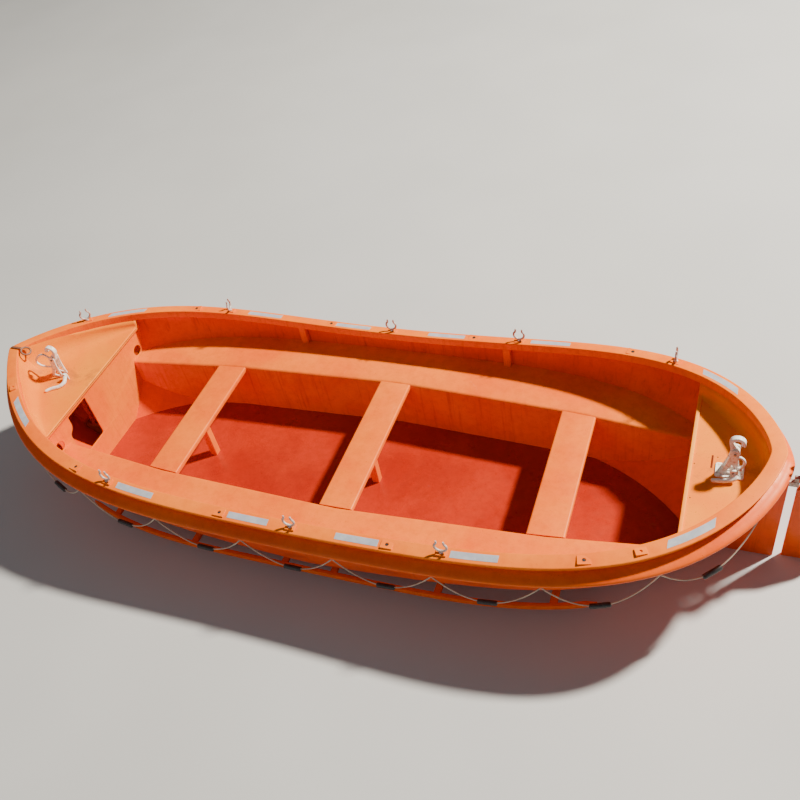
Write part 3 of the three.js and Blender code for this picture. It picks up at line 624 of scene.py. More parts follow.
def floor_grid():
    """A thin slab whose edge follows the tanks' faces, or the hull where that is nearer."""
    x = np.sort(np.concatenate([np.linspace(*WELL, 60), BENCH_LINE[1:-1, 0]]))[:, None]
    reach = np.minimum(bench_edge(x) + 0.004, hull_side(x, FLOOR_Z - 0.01, HULL_WALL - 0.004))
    reach = np.maximum(reach, 0.01)
    across = np.linspace(-1, 1, 13)[None, :]
    y = np.concatenate([reach * across, reach * across[:, ::-1]], axis=1)
    z = np.concatenate([FLOOR_Z + 0 * across, FLOOR_Z - 0.018 + 0 * across], axis=1)
    return grid_of(x, y, z)


fasten(surface("floor_panel", floor_grid(), caps=True), floor_shade_coat, "floor")


def rounded_beam(name, ends, half, heights, radius, fitted=None):
    """A beam across the boat with a rounded rectangular section."""
    middle, reach = half
    return beam(name, rounded_box((middle - reach, middle + reach), heights, radius), ends, fitted)


def beam(name, outline, ends, fitted=None):
    """An outline in x and z that is carried across the boat from one end to the other.
    `fitted` gives the half length that it has at each x, where its ends aren't square."""
    x, z = outline.T
    y = np.linspace(*ends, 25)[:, None]
    return surface(name, grid_of(x, y * fitted(x) if fitted else y, z), caps=True)


for k, x in enumerate(THWARTS):
    plank = rounded_beam(
        f"thwart_plank_{k + 1}", (-1, 1), (x, THWART_HALF), (BENCH_Z - THWART_DEPTH, BENCH_Z),
        0.014, fitted=lambda along: bench_edge(along) + 0.0015,
    )
    fasten(plank, bench_coat, f"thwart_{k + 1}")
    post = upright_post(f"thwart_pillar_{k + 1}", (x - PILLAR, x + PILLAR), (-PILLAR, PILLAR),
                        (FLOOR_Z - 0.002, BENCH_Z - 0.04), 0.008)
    fasten(post, bench_coat)

# End decks
# A flat deck at each end, moulded with its sides and tip swept up to the gunwale in a hollow
# curve. The bow's curve grows large towards the stem. A rounded lip runs along the front edge.
DECK_Z = 0.737
DECK_WALL = 0.012
# The lip's section: distance behind the front edge, height above the deck
LIP = [(0.0, 0.010), (0.025, 0.010), (0.0276, -0.040), (0.0215, -0.040), (0.0, -0.010)]
DECKS = (
    # name, front edge, sweep's width and height at the edge and at the tip
    ("bow", -2.205, (0.030, 0.175), (0.035, 0.215)),
    ("stern", 2.395, (0.035, 0.065), (0.040, 0.080)),
)


def deck_grid(edge, width, height):
    """Columns run from the front edge to the tip, rows from the port wall's top down the
    wall, round the sweep, over the flat and up again to starboard."""
    share = np.sin(np.linspace(0, 1, 60) * math.pi / 2)[None, :]
    way = np.sign(edge)
    angle = np.linspace(0, math.pi / 2, 12)[::-1, None]
    grown = share ** 1.3
    inset = np.concatenate([
        CAP_WIDTH - 0.006 + 0 * share,
        CAP_WIDTH + (width[0] + (width[1] - width[0]) * grown) * (1 - np.sin(angle)),
    ])
    rise = (height[0] + (height[1] - height[0]) * grown) * (1 - np.cos(angle))
    tip = way * (HALF_LENGTH - inset[:, -1:])
    x = edge + (tip - edge) * share
    y = half_breadth(x, inset) * (share < 1)
    top = sheer(x[:1]) - GUNWALE_DEPTH - 0.0005
    z = np.concatenate([top, DECK_Z + rise])
    side = grid_of(x, y, z)
    flat = side[-1] * grid_of(1, np.linspace(1, 0, 10)[1:, None], 1)
    starboard = np.concatenate([side, flat])
    return np.concatenate([starboard * TO_PORT, starboard[-2::-1]])


def sunlit_deck_gelcoat():
    """Gelcoat painted paler than the rest as painted sunlight on the flat deck, and duller, with
    long faint scratches, dark specks, and darker brown patches along the centreline near the gear."""
    coat = Finish("sunlit_deck_gelcoat", "deck_orange", Specular_IOR_Level=0.22,
                  Specular_Tint=WARM_GLOSS)
    clouds = coat.ramp(coat.noise(2.6, 5, 0.6, 0.5), 0.3, 0.7)
    # Painted sunlight: the base colours are paler than the other gelcoats, as the deck looks in the
    # sun.
    colour = coat.mix(clouds, (0.87, 0.195, 0.002), (0.91, 0.262, 0.006))
    grain = coat.ramp(coat.noise(38, 8, 0.75), 0.35, 0.75, 0.0, 0.16)
    colour = coat.mix(grain, colour, (0.74, 0.120, 0.004))
    scratch = coat.ramp(
        coat.noise(1.0, 7, 0.7, 0.1, coat.moved((5, 90, 5), (0, 0, 0.5))), 0.66, 0.75, 0.0, 0.25
    )
    colour = coat.mix(scratch, colour, (0.97, 0.36, 0.10))
    specks = coat.ramp(coat.noise(120, 2, 0.5), 0.69, 0.74, 0.0, 0.7)
    colour = coat.mix(specks, colour, (0.22, 0.05, 0.03))
    # Darker brown patches in a band along the centreline, near the gear.
    away = coat.math("ABSOLUTE", coat.axis("Y"))
    marks = coat.math(
        "MULTIPLY", coat.ramp(away, 0.02, 0.20, 1.0, 0.0),
        coat.ramp(coat.noise(5, 6, 0.7, 1.0), 0.48, 0.66, 0.0, 0.55),
    )
    colour = coat.mix(marks, colour, (0.42, 0.11, 0.035))
    coat.give("Base Color", colour)
    coat.give("Roughness", coat.ramp(grain, 0.0, 0.3, 0.42, 0.62))
    coat.bump(coat.noise(60, 4, 0.6), 0.12, 0.002)
    return coat


sunlit_deck_coat = sunlit_deck_gelcoat()
lip_coat = gelcoat("lip_gelcoat", "deck_orange", (0.94, 0.26, 0.012), (0.96, 0.37, 0.045),
                   (0.60, 0.10, 0.010), 0.3, 0.6, (0.40, 0.60), 0.25)
# Painted shade: the stern deck's slot is a thin dark strip laid on the deck, and the screws are
# dark dots of the same shade.
slot_shade_coat = gelcoat("slot_shade", "deck_orange", (0.10, 0.008, 0.002), (0.15, 0.014, 0.003),
                    (0.06, 0.006, 0.002), 0.3, 0.0)
slot = rounded_beam("stern_deck_slot_shade", (0.011, 0.117), (2.535, 0.006),
                    (DECK_Z - 0.002, DECK_Z + 0.0016), 0.0008)
fasten(slot, slot_shade_coat)
SCREWS = ((2.566, 0.107), (2.432, 0.027), (2.436, -0.253), (-2.434, 0.094), (-2.525, 0.230))
for k, (x, y) in enumerate(SCREWS):
    path = [(x, y, DECK_Z + rise) for rise in (-0.003, 0.0015, 0.0022)]
    screw = rod(f"deck_screw_{k + 1}", path, [0.004, 0.004, 0.0028], 12, side=(1, 0, 0))
    fasten(screw, slot_shade_coat)
for name, edge, width, height in DECKS:
    deck = surface(f"{name}_deck_skin", deck_grid(edge, width, height), around=False, weld=1e-5,
                   sharp=50, closed=False)
    wall = deck.modifiers.new("wall", "SOLIDIFY")
    wall.thickness = DECK_WALL
    wall.offset = 1
    fasten(deck, sunlit_deck_coat, f"{name}_deck")
    way = np.sign(edge)
    reach = half_breadth(edge, CAP_WIDTH + 0.012)
    section = rounded([(edge + way * back, DECK_Z + rise) for back, rise in LIP], 0.007)
    lip = beam(f"{name}_deck_lip", section, (-reach, reach))
    fasten(lip, lip_coat)

# Bulkheads
# A plate under each deck's edge, glassed to the hull, with a round hole near each side. The
# bow's is open for stowage beside the centreline to port, and the stern's in the middle.
BULKHEAD_INSET = 0.028
BULKHEAD_WALL = 0.012
OPENING_HALF = 0.460
OPENING_RIM = 0.060
HOLE_Y, HOLE_Z, HOLE_RADIUS = 0.576, 0.548, 0.046
BOW_OPENING = [(-0.150, 0.676), (-0.150, 0.285), (-0.165, 0.270), (-0.425, 0.270),
               (-0.440, 0.285), (-0.440, 0.510), (-0.432, 0.540), (-0.400, 0.562),
               (-0.384, 0.590), (-0.380, 0.676)]


def arc(radius, angles):
    """Points at a radius from the origin, in the directions of the angles."""
    return radius * np.stack([np.cos(angles), np.sin(angles)], axis=-1)


def section_outline(face, low, top, inset, narrow=0.0, wide=HALF_BEAM):
    """The hull's section at the face between two heights, `inset` inside its outer face, kept
    between the two half widths."""
    rise = low + (top - low) * np.linspace(0, 1, 60) ** 1.6
    width = np.clip(hull_side(face, rise, inset), narrow, wide)
    starboard = np.stack([width, rise], axis=1)
    return np.concatenate([starboard[::-1] * (-1, 1), starboard[1:]])


def bulkhead_outlines(face):
    """The hull's section at the face, cut off under the deck, and the opening inside it: the
    same section, a rim's width further in, cut off by the floor and the two sides."""
    top = DECK_Z - DECK_WALL - 0.001
    rim = HULL_WALL + OPENING_RIM
    outer = section_outline(face, keel_line(face, HULL_WALL), top, HULL_WALL - 0.002)
    if face < 0:
        opening = rounded(BOW_OPENING, 0.008, 3)
    else:
        sill = max(FLOOR_Z, keel_line(face, rim))
        opening = section_outline(face, sill, top - 0.06, rim, 0.002, OPENING_HALF)
    holes = [arc(HOLE_RADIUS, full_turn(40)) + (side * HOLE_Y, HOLE_Z) for side in (-1, 1)]
    return [outer, opening, *holes]


for name, edge, *_ in DECKS:
    way = np.sign(edge)
    face = edge + way * BULKHEAD_INSET
    plate = cut_plate(f"{name}_bulkhead_plate", bulkhead_outlines(face),
                      (face, face + way * BULKHEAD_WALL), 0.002, upright=False)
    fasten(plate, gunwale_coat, f"{name}_bulkhead")

# Hook stays
# A painted steel pipe under each release gear takes the hook's pull down from the deck. It
# stands in a steel foot that is shaped to the bottom and bolted over the keel.
STAY_X = (-2.475, 2.640)
STAY_RADIUS = 0.021
FOOT = (0.150, 0.070, 0.120)
stay_paint = worn_metal("stay_paint", "stay_orange", (0.78, 0.11, 0.010), (0.36, 0.10, 0.04),
                        (0.24, 0.05, 0.02), 0.30, 0.0)
foot_paint = worn_metal("foot_paint", "stay_orange", (0.55, 0.30, 0.20), (0.40, 0.22, 0.14),
                        (0.24, 0.06, 0.02), 0.9, 0.0)


def tapered_block(name, x, size, top, radius, rows, ground):
    """A block with rounded corners that stands on the ground. Each row gives a share of the
    height, from the ground to the top, and the share of the outline that is left there."""
    level, shrink = np.array(rows).T[..., None]
    along, across = rounded_box(*((-reach / 2, reach / 2) for reach in size), radius).T
    px, py = x + along * shrink, across * shrink
    low = ground(px, py)
    return surface(name, grid_of(px, py, low + (top - low) * level), caps=True)


for name, x in zip(("bow", "stern"), STAY_X):
    top = keel_line(x, HULL_WALL) + FOOT[2]
    pipe_path = [(x, 0, z) for z in (top - 0.004, top + 0.3, DECK_Z - DECK_WALL - 0.0005)]
    pipe = rod(f"{name}_stay_pipe", pipe_path, STAY_RADIUS, 28, side=(1, 0, 0))
    fasten(pipe, stay_paint, f"{name}_hook_stay")
    foot = tapered_block(
        f"{name}_stay_foot", x, FOOT[:2], top, 0.012, [(0, 1), (0.85, 1), (0.95, 0.96), (1, 0.86)],
        lambda px, py: hull_height(px, np.abs(py), HULL_WALL) - 0.006)
    fasten(foot, foot_paint)

# Release gear
# On each deck stand two steel cheeks on feet, painted white and badly chipped. They carry the
# lifting hook on a pin, a bent counterweight arm, and the release lever on its own post.
GEARS = (
    {
        "end": "bow", "x": -2.548, "lean": 8.5, "opens": -1, "lever_x": -2.440, "ball": None,
        "arm": [(-12, 219), (-58, 240), (-110, 215), (-158, 158), (-164, 120), (-130, 98),
                (-80, 101), (-24, 114)],
        "lever": [(0, -54), (14, -76), (20, -112), (-8, -150), (-62, -182), (-96, -218)],
    },
    {
        "end": "stern", "x": 2.642, "lean": 4.5, "opens": 1, "lever_x": 2.664,
        "ball": (50, 76, 16),
        "arm": [(14, 170), (34, 178), (58, 160), (66, 128), (60, 96), (48, 76)],
        "lever": [(0, -54), (10, -66), (6, -84), (-34, -96), (-82, -103), (-122, -108)],
    },
)
GEAR_BASE = (0.170, 0.116, 0.010)
CHEEKS = (0.023, 0.032)
HOOK_PIVOT = 0.195
HOOK_HALF = 0.017
PIN_RADIUS = 0.008
ARM_OFFSET = -0.030
LEVER_HEIGHT = 0.060
LEVER_RADIUS = 0.015
DECK_TOP = DECK_Z + 0.0003

chipped_white = worn_metal("chipped_white", "white_steel", (0.95, 0.93, 0.86), (0.40, 0.33, 0.28),
                           (0.55, 0.28, 0.16), 0.13, 0.0)


def ball_grid(centre, radius):
    """A sphere: rings of points whose height and width follow the cosine and sine."""
    polar = np.linspace(0, math.pi, 14)[:, None]
    turn = full_turn(20)[None, :]
    unit = grid_of(np.sin(polar) * np.cos(turn), np.sin(polar) * np.sin(turn), np.cos(polar))
    return np.asarray(centre) + radius * unit


def lean_over(piece, x, degrees):
    """Turns a piece's mesh about the gear's foot, so that it leans along the boat."""
    foot = Matrix.Translation((x, 0, DECK_TOP))
    piece.data.transform(foot @ Matrix.Rotation(math.radians(degrees), 4, "Y") @ foot.inverted())
    return piece


def hook_outline(x, opens):
    """The hook's side: a boss, a shank, and a rim of constant width round the throat, which
    stays open on one side."""
    throat, inner, outer = 0.075, 0.024, 0.048
    over = np.linspace(math.pi, -0.35, 26)
    under = np.linspace(-0.35, math.pi * 1.12, 26)
    boss = np.linspace(1.0, -math.pi, 22)
    points = np.concatenate([
        arc(outer, over) + (0, throat), arc(inner, under) + (0, throat), [(0.0, 0.040)],
        arc(0.026, boss),
    ])
    return points * (opens, 1) + (x, DECK_TOP + HOOK_PIVOT)


def cross_pin(name, x, z, radius, ends):
    """A pin across the boat with chamfered ends."""
    y = np.array([ends[0], ends[0] + 0.002, ends[1] - 0.002, ends[1]])
    size = np.array([0.7, 1.0, 1.0, 0.7]) * radius
    return rod(name, grid_of(x, y, z), size, 20, side=(0, 0, 1))


for gear in GEARS:
    end, x, lean, lever_x = gear["end"], gear["x"], gear["lean"], gear["lever_x"]
    plate = tapered_block(
        f"{end}_gear_plate", x, GEAR_BASE[:2], DECK_TOP + GEAR_BASE[2], 0.016,
        [(0, 1), (0.75, 1), (1, 0.975)], lambda px, py: DECK_TOP)
    fasten(plate, chipped_white, f"{end}_hook_base")
    cheek = rounded([
        (-0.058, 0.004), (0.058, 0.004), (0.050, 0.030), (0.034, 0.095), (0.027, 0.150),
        (0.028, 0.210), (0.015, 0.228), (-0.015, 0.228), (-0.028, 0.210), (-0.027, 0.150),
        (-0.034, 0.095), (-0.050, 0.030),
    ], 0.010) + (x, DECK_TOP)
    window = rounded([(-0.025, 0.028), (0.0, 0.098), (0.025, 0.028)], 0.006) + (x, DECK_TOP)
    for side, name in ((-1, "near"), (1, "far")):
        faces = (side * CHEEKS[0], side * CHEEKS[1])
        made = cut_plate(f"{end}_cheek_{name}", [cheek, window], faces, 0.0018)
        fasten(lean_over(made, x, lean), chipped_white)
    pin = cross_pin(f"{end}_hook_pin", x, DECK_TOP + HOOK_PIVOT, PIN_RADIUS, (-0.040, 0.040))
    fasten(lean_over(pin, x, lean), dull_steel)
    arm_path = np.array([(x + u / 1000, ARM_OFFSET, DECK_TOP + w / 1000) for u, w in gear["arm"]])
    arm = rod(f"{end}_counter_arm", smooth_path(arm_path, 8), 0.0085, 16)
    fasten(lean_over(arm, x, lean), chipped_white)
    if gear["ball"]:
        u, w, radius = (value / 1000 for value in gear["ball"])
        grid = ball_grid((x + u, ARM_OFFSET, DECK_TOP + w), radius)
        weight = surface(f"{end}_counter_weight", grid, weld=1e-5)
        fasten(lean_over(weight, x, lean), chipped_white)
    front, back = lever_x - 0.016, lever_x + 0.016
    step = beam(f"{end}_lever_foot", rounded_box(
        (min(x, front), max(x, back)), (DECK_TOP, DECK_TOP + 0.0095), 0.003), (-0.050, 0.0))
    fasten(step, chipped_white)
    pin_z = DECK_TOP + LEVER_HEIGHT
    post_outline = rounded_box((front, back), (DECK_TOP, pin_z + 0.013), 0.012)
    post = cut_plate(f"{end}_lever_post", [post_outline], (-0.046, -0.036), 0.0015)
    fasten(post, chipped_white)
    pin = cross_pin(f"{end}_lever_pin", lever_x, pin_z, PIN_RADIUS, (-0.070, -0.038))
    fasten(pin, dull_steel)

    hook = cut_plate(f"{end}_lifting_hook", [hook_outline(x, gear["opens"])],
                     (-HOOK_HALF, HOOK_HALF), 0.004)
    fasten(lean_over(hook, x, lean), chipped_white, f"{end}_hook", body=f"{end}_hook")

    low = LEVER_RADIUS + 0.006
    heights = (LEVER_HEIGHT, LEVER_HEIGHT - 0.012, 0.034, low + 0.002, low, low)
    lever_path = np.array([
        (lever_x + dx / 1000, y / 1000, DECK_TOP + h)
        for (dx, y), h in zip(gear["lever"], heights)
    ])
    lever_path[0, 1] = -0.052
    lever_path = smooth_path(lever_path, 10)
    taper = np.interp(np.linspace(0, 1, len(lever_path)), [0, 0.12, 0.75, 0.97, 1.0],
                      [0.0125, LEVER_RADIUS, LEVER_RADIUS, 0.0125, 0.008])
    lever = rod(f"{end}_lever_bar", lever_path, taper, 20, side=(0, 0, 1))
    fasten(lever, chipped_white, f"{end}_release_lever", body=f"{end}_release_lever")
    boss = cross_pin(f"{end}_lever_boss", lever_x, pin_z, 0.0225, (-0.066, -0.051))
    fasten(boss, chipped_white, body=f"{end}_release_lever")

# Bilge grab rails
# A moulded rail along each bilge, to hold on to from outside the boat. It stands off on short
# brackets that are bonded to the hull.
RAIL_Z = 0.160
RAIL_SIZE = (0.036, 0.040)
RAIL_END = 1.965
BRACKETS = (-1.700, -0.945, -0.190, 0.190, 0.945, 1.700)


def rail_path(x):
    """Distance of the rail from the centreline: nearly straight, closing in at the ends."""
    return 0.955 - 0.200 * (x / RAIL_END) ** 4


for side, name in SIDES:
    x = np.linspace(-RAIL_END, RAIL_END, 60)[:, None]
    fade = np.sqrt(np.clip(1 - (np.abs(x) / (RAIL_END + 0.004)) ** 80, 0.02, 1))
    across, up = rounded_box((-0.5, 0.5), (-0.5, 0.5), 0.3).T * np.array(RAIL_SIZE)[:, None]
    grid = grid_of(x, side * (rail_path(x) + across * fade), RAIL_Z + up * fade)
    rail = surface(f"grab_rail_{name}", grid, caps=True)
    fasten(rail, strake_coat, f"bilge_rail_{name}")
    for k, bx in enumerate(BRACKETS):
        ends = sorted((side * hull_side(bx, RAIL_Z, 0.006), side * (rail_path(bx) - 0.004)))
        arm = rounded_beam(f"rail_bracket_{name}_{k + 1}", ends, (bx, 0.025),
                           (RAIL_Z - 0.012, RAIL_Z + 0.012), 0.008)
        fasten(arm, strake_coat)

# Rudder
# A flat plywood-cored blade that hangs on two pins behind the post, with a head that is the
# empty socket of the unshipped tiller.
BLADE_X = 3.037
BLADE_TOP = 0.960
rudder_paint = gelcoat("rudder_gelcoat", "rudder_orange", (0.80, 0.075, 0.004),
                       (0.87, 0.120, 0.009), (0.40, 0.035, 0.005), 0.5, 0.5)
blade_outline = rounded([
    (BLADE_X + 0.027, KEEL_BOTTOM + 0.025), (BLADE_X + 0.230, KEEL_BOTTOM + 0.025),
    (BLADE_X + 0.285, KEEL_BOTTOM + 0.090), (BLADE_X + 0.270, 0.330), (BLADE_X + 0.190, 0.560),
    (BLADE_X + 0.080, 0.640), (BLADE_X + 0.080, BLADE_TOP), (BLADE_X, BLADE_TOP),
    (BLADE_X, 0.750), (BLADE_X + 0.027, 0.738), (BLADE_X + 0.027, 0.690), (BLADE_X, 0.685),
    (BLADE_X, -0.060), (BLADE_X + 0.027, -0.110), (BLADE_X + 0.027, -0.170),
], 0.018)
blade = cut_plate("rudder_blade", [blade_outline], (-0.011, 0.011), 0.004)
fasten(blade, rudder_paint, "rudder", body="rudder")
stock = cut_plate("rudder_stock", [rounded([
    (BLADE_X, 0.620), (BLADE_X + 0.084, 0.620), (BLADE_X + 0.084, BLADE_TOP), (BLADE_X, BLADE_TOP),
    (BLADE_X, 0.752), (BLADE_X + 0.026, 0.742), (BLADE_X + 0.026, 0.692), (BLADE_X, 0.684),
], 0.006)], (-0.0198, 0.0198), 0.003)
fasten(stock, rudder_paint, body="rudder")
for k, (low, high) in enumerate(GUDGEONS):
    strap = rounded_box((RUDDER_X - 0.014, BLADE_X + 0.110), (high + 0.0005, high + 0.038), 0.008)
    plate = cut_plate(f"rudder_strap_{k + 1}", [strap], (-0.0142, 0.0142), 0.002)
    fasten(plate, dull_steel, body="rudder")
    path = [(RUDDER_X, 0, z) for z in (low + 0.003, low + 0.02, high + 0.004)]
    pin = rod(f"pintle_{k + 1}", path, [0.006, 0.0088, 0.0088], 20, side=(1, 0, 0))
    fasten(pin, dull_steel, body="rudder")
HEAD_FACES = (0.0203, 0.028)
HEAD_HEIGHTS = (0.880, 1.025)
head_outline = rounded_box((BLADE_X - 0.002, BLADE_X + 0.094), HEAD_HEIGHTS, 0.012)
for side, name in SIDES:
    cheek = cut_plate(f"head_cheek_{name}", [head_outline],
                      sorted((side * HEAD_FACES[0], side * HEAD_FACES[1])), 0.0015)
    fasten(cheek, rudder_paint, *(["rudder_head"] if side < 0 else []), body="rudder")
back = rounded_beam("head_back", (-0.0275, 0.0275), (BLADE_X + 0.0898, 0.0042), HEAD_HEIGHTS, 0.003)
fasten(back, rudder_paint, body="rudder")

# Socket plates and crutch seats
# Thin square plates, bonded on the cap, with a bushed hole for a crutch, and the seats in
# which the crutches stand.
SOCKETS = (-1.720, -0.506, 0.710, 1.917)
SOCKET_PLATE = (0.082, 0.062, 0.0045)
CRUTCH_X = (-2.525, -1.420, 0.030, 1.070, 2.220)
PORT_BOW_SEAT = -2.640
CRUTCH_INSET = 0.046
CRUTCH_SEAT = (0.070, 0.050, 0.008)
# Painted shade: a near-black plug in each socket stands for the dark inside of its bore.
bore_shade = Finish("bore_painted_shade", "worn_steel", Base_Color=(0.012, 0.008, 0.007, 1.0))
bore_shade.give("Roughness", bore_shade.ramp(bore_shade.noise(120, 3), 0.3, 0.7, 0.6, 0.9))


def on_cap(points, x, side):
    """Turns points given along, across and above the cap into the boat's frame, at x on the
    crutches' line and in the gunwale's plan direction there."""
    before, y, after = half_breadth(x + np.array([-0.005, 0.0, 0.005]), CRUTCH_INSET)
    turn = math.atan2(side * (after - before) / 0.010, 1.0)
    c, s = math.cos(turn), math.sin(turn)
    z = sheer(x) + CAP_CAMBER * CRUTCH_INSET / CAP_WIDTH
    along, across, up = np.moveaxis(points, -1, 0)
    return grid_of(x + c * along - s * across, side * y + s * along + c * across, z + up)


def pad_grid(length, width, high, low, bore):
    """A pad with a round hole: rings from the hole's wall over the top and down the side."""
    circle = arc(1.0, full_turn(48))
    edge = circle / np.max(np.abs(circle) / (length / 2, width / 2), axis=1, keepdims=True)
    share, z = np.array([
        (0.0, low), (0.0, high - 0.0015), (0.04, high), (0.93, high), (0.985, high - 0.0015),
        (1.0, high - 0.004), (1.0, low),
    ]).T[..., None]
    hole_x, hole_y = bore * circle.T
    edge_x, edge_y = edge.T
    return grid_of(hole_x + (edge_x - hole_x) * share, hole_y + (edge_y - hole_y) * share, z)


for side, name in SIDES:
    for k, x in enumerate(SOCKETS):
        pad = surface(f"socket_plate_{name}_{k + 1}", on_cap(
            pad_grid(*SOCKET_PLATE, -0.006, 0.012), x, side), along=True, sharp=30)
        fasten(pad, gunwale_coat)
        radius, z = np.array([(0.0, 0.0012), (0.0119, 0.0012), (0.0119, -0.0030)]).T[..., None]
        turn = full_turn(24)
        plug = grid_of(radius * np.cos(turn), radius * np.sin(turn), z)
        well = surface(f"socket_bore_{name}_{k + 1}", on_cap(plug, x, side), weld=1e-6)
        fasten(well, bore_shade)
    for k, x in enumerate(CRUTCH_X):
        x = PORT_BOW_SEAT if (side, k) == (-1, 0) else x
        seat = surface(f"crutch_seat_{name}_{k + 1}", on_cap(
            pad_grid(*CRUTCH_SEAT, -0.012, 0.009), x, side), along=True, sharp=30)
        fasten(seat, gunwale_coat)

# Crutches
# Galvanised horseshoes on a shank, in worn pinkish primer, that hold the oars. They drop into
# their seats, and two of the port ones are missing.
CRUTCH_BOWL = 0.040
CRUTCH_RISE = 0.053
CRUTCHES = (
    # side, place, degrees that it is turned in its seat
    (1, 0, 0), (1, 1, 98), (1, 2, 0), (1, 3, 0), (1, 4, 114), (-1, 1, 0), (-1, 2, 0), (-1, 3, 0),
)
HORN = (CRUTCH_BOWL - 0.016, CRUTCH_BOWL + 0.014)
HORSESHOE = np.array([-230, -200, -170, -140, -115, -90, -65, -40, -10, 20, 50])
crutch_metal = worn_metal("crutch_primer", "worn_steel", (0.62, 0.46, 0.42), (0.70, 0.64, 0.60),
                          (0.34, 0.15, 0.10), 0.7, 0.15)
bowl = arc(CRUTCH_BOWL, np.radians(HORSESHOE))
out, rise = np.concatenate([[(-HORN[0], HORN[1])], bowl, [HORN]]).T
seat_top = CRUTCH_SEAT[2] + 0.0003
for side, k, turned in CRUTCHES:
    name = dict(SIDES)[side]
    swing = np.array([math.cos(math.radians(turned)), math.sin(math.radians(turned)), 0.0])
    level = (rise[:, None] + seat_top + CRUTCH_RISE) * (0, 0, 1)
    curve = smooth_path(out[:, None] * swing + level, 8)
    size = np.interp(np.linspace(0, 1, len(curve)), [0, 0.02, 0.1, 0.5, 0.9, 0.98, 1],
                     [0.005, 0.0068, 0.0076, 0.0084, 0.0076, 0.0068, 0.005])
    across = np.array([-swing[1], swing[0], 0.0])
    fork = rod(f"crutch_fork_{name}_{k + 1}", on_cap(curve, CRUTCH_X[k], side), size, 16,
               side=on_cap(across, CRUTCH_X[k], side) - on_cap(0 * across, CRUTCH_X[k], side))
    fasten(fork, crutch_metal, f"crutch_{name}_{k + 1}")
    levels = (-0.038, seat_top - 0.0008, seat_top, seat_top + 0.0075, seat_top + 0.011)
    stem = np.array([(0, 0, z) for z in levels])
    stem_size = [0.0080, 0.0080, 0.0150, 0.0150, 0.0085]
    shank = rod(f"crutch_shank_{name}_{k + 1}", on_cap(stem, CRUTCH_X[k], side), stem_size, 20,
                side=(1, 0, 0))
    fasten(shank, crutch_metal)

# Bow ring
# A mooring ring of bare iron, rusty all over. It is caught under a narrow bar that is bolted
# to the tip of the cap.
RING = {"x": -2.790, "y": 0.005, "z": 0.962, "radius": 0.037, "wire": 0.008, "tilt": 30}
rust = worn_metal("rusty_iron", "worn_steel", (0.16, 0.055, 0.035), (0.24, 0.13, 0.09),
                  (0.30, 0.09, 0.03), 0.8, 0.2)
turn = full_turn(48)[:, None]
beyond, above = arc(RING["wire"], full_turn(14)).T
radial = RING["radius"] + beyond
ring_grid = grid_of(radial * np.cos(turn), radial * np.sin(turn), above)
ring = surface("mooring_ring", ring_grid, along=True)
tilt = Matrix.Rotation(math.radians(RING["tilt"]), 4, "Y")
ring.data.transform(Matrix.Translation((RING["x"], RING["y"], RING["z"])) @ tilt)
fasten(ring, rust, "bow_ring")
bar = rounded_beam("ring_bar", (RING["y"] - 0.009, RING["y"] + 0.009), (-2.8745, 0.0500),
                   (0.9775, 0.991), 0.004)
fasten(bar, rust)

# Grab lines
# Laid rope, 10 mm, hung in nine bights a side from eyes under the strake, with a black float
# threaded on the middle of each bight.
BIGHTS = 9
LINE_ENDS = (-2.830, 2.830)
LINE_INSET = -0.026
EYE_DEPTH = 0.152
EYE_HALF = 0.008
BIGHT_SAG = 0.205
LINE_RADIUS = 0.005
FLOAT_RADIUS = 0.017
FLOAT_LENGTH = 0.130


def edge_run(x, inset):
    """Distance travelled along the plan outline at each x."""
    return travelled(np.stack([x, half_breadth(x, inset)], axis=-1))


def line_path(side, share):
    """Point on the grab line at a share of its plan length: along the strake's outline by
    distance, hanging from each eye to the next in a parabola."""
    x = np.linspace(*LINE_ENDS, 2001)
    run = edge_run(x, LINE_INSET)
    here = np.interp(share, run / run[-1], x)
    phase = np.mod(share * BIGHTS, 1.0)
    sag = BIGHT_SAG * (1 - (2 * phase - 1) ** 2)
    z = sheer(here) - EYE_DEPTH - 0.0003 - LINE_RADIUS - sag
    return grid_of(here, side * half_breadth(here, LINE_INSET), z)


rope = Finish("laid_rope", "rope")
strands = rope.noise(160, 4, 0.5)
rope_tone = rope.ramp(rope.noise(9, 5, 0.6), 0.35, 0.7)
rope_tone = rope.mix(rope_tone, (0.50, 0.44, 0.34), (0.34, 0.28, 0.21))
rope_tone = rope.mix(rope.ramp(strands, 0.45, 0.7, 0.0, 0.5), rope_tone, (0.62, 0.57, 0.47))
rope.give("Base Color", rope_tone)
rope.give("Roughness", rope.ramp(strands, 0.3, 0.7, 0.75, 0.95))
rope.bump(strands, 0.5, 0.0008)
float_rubber = Finish("float_rubber", "rope")
float_tone = float_rubber.ramp(float_rubber.noise(22, 6, 0.7), 0.4, 0.75)
float_rubber.give("Roughness", float_rubber.ramp(float_tone, 0, 1, 0.5, 0.8))
float_tone = float_rubber.mix(float_tone, (0.018, 0.017, 0.018), (0.075, 0.068, 0.064))
float_rubber.give("Base Color", float_tone)

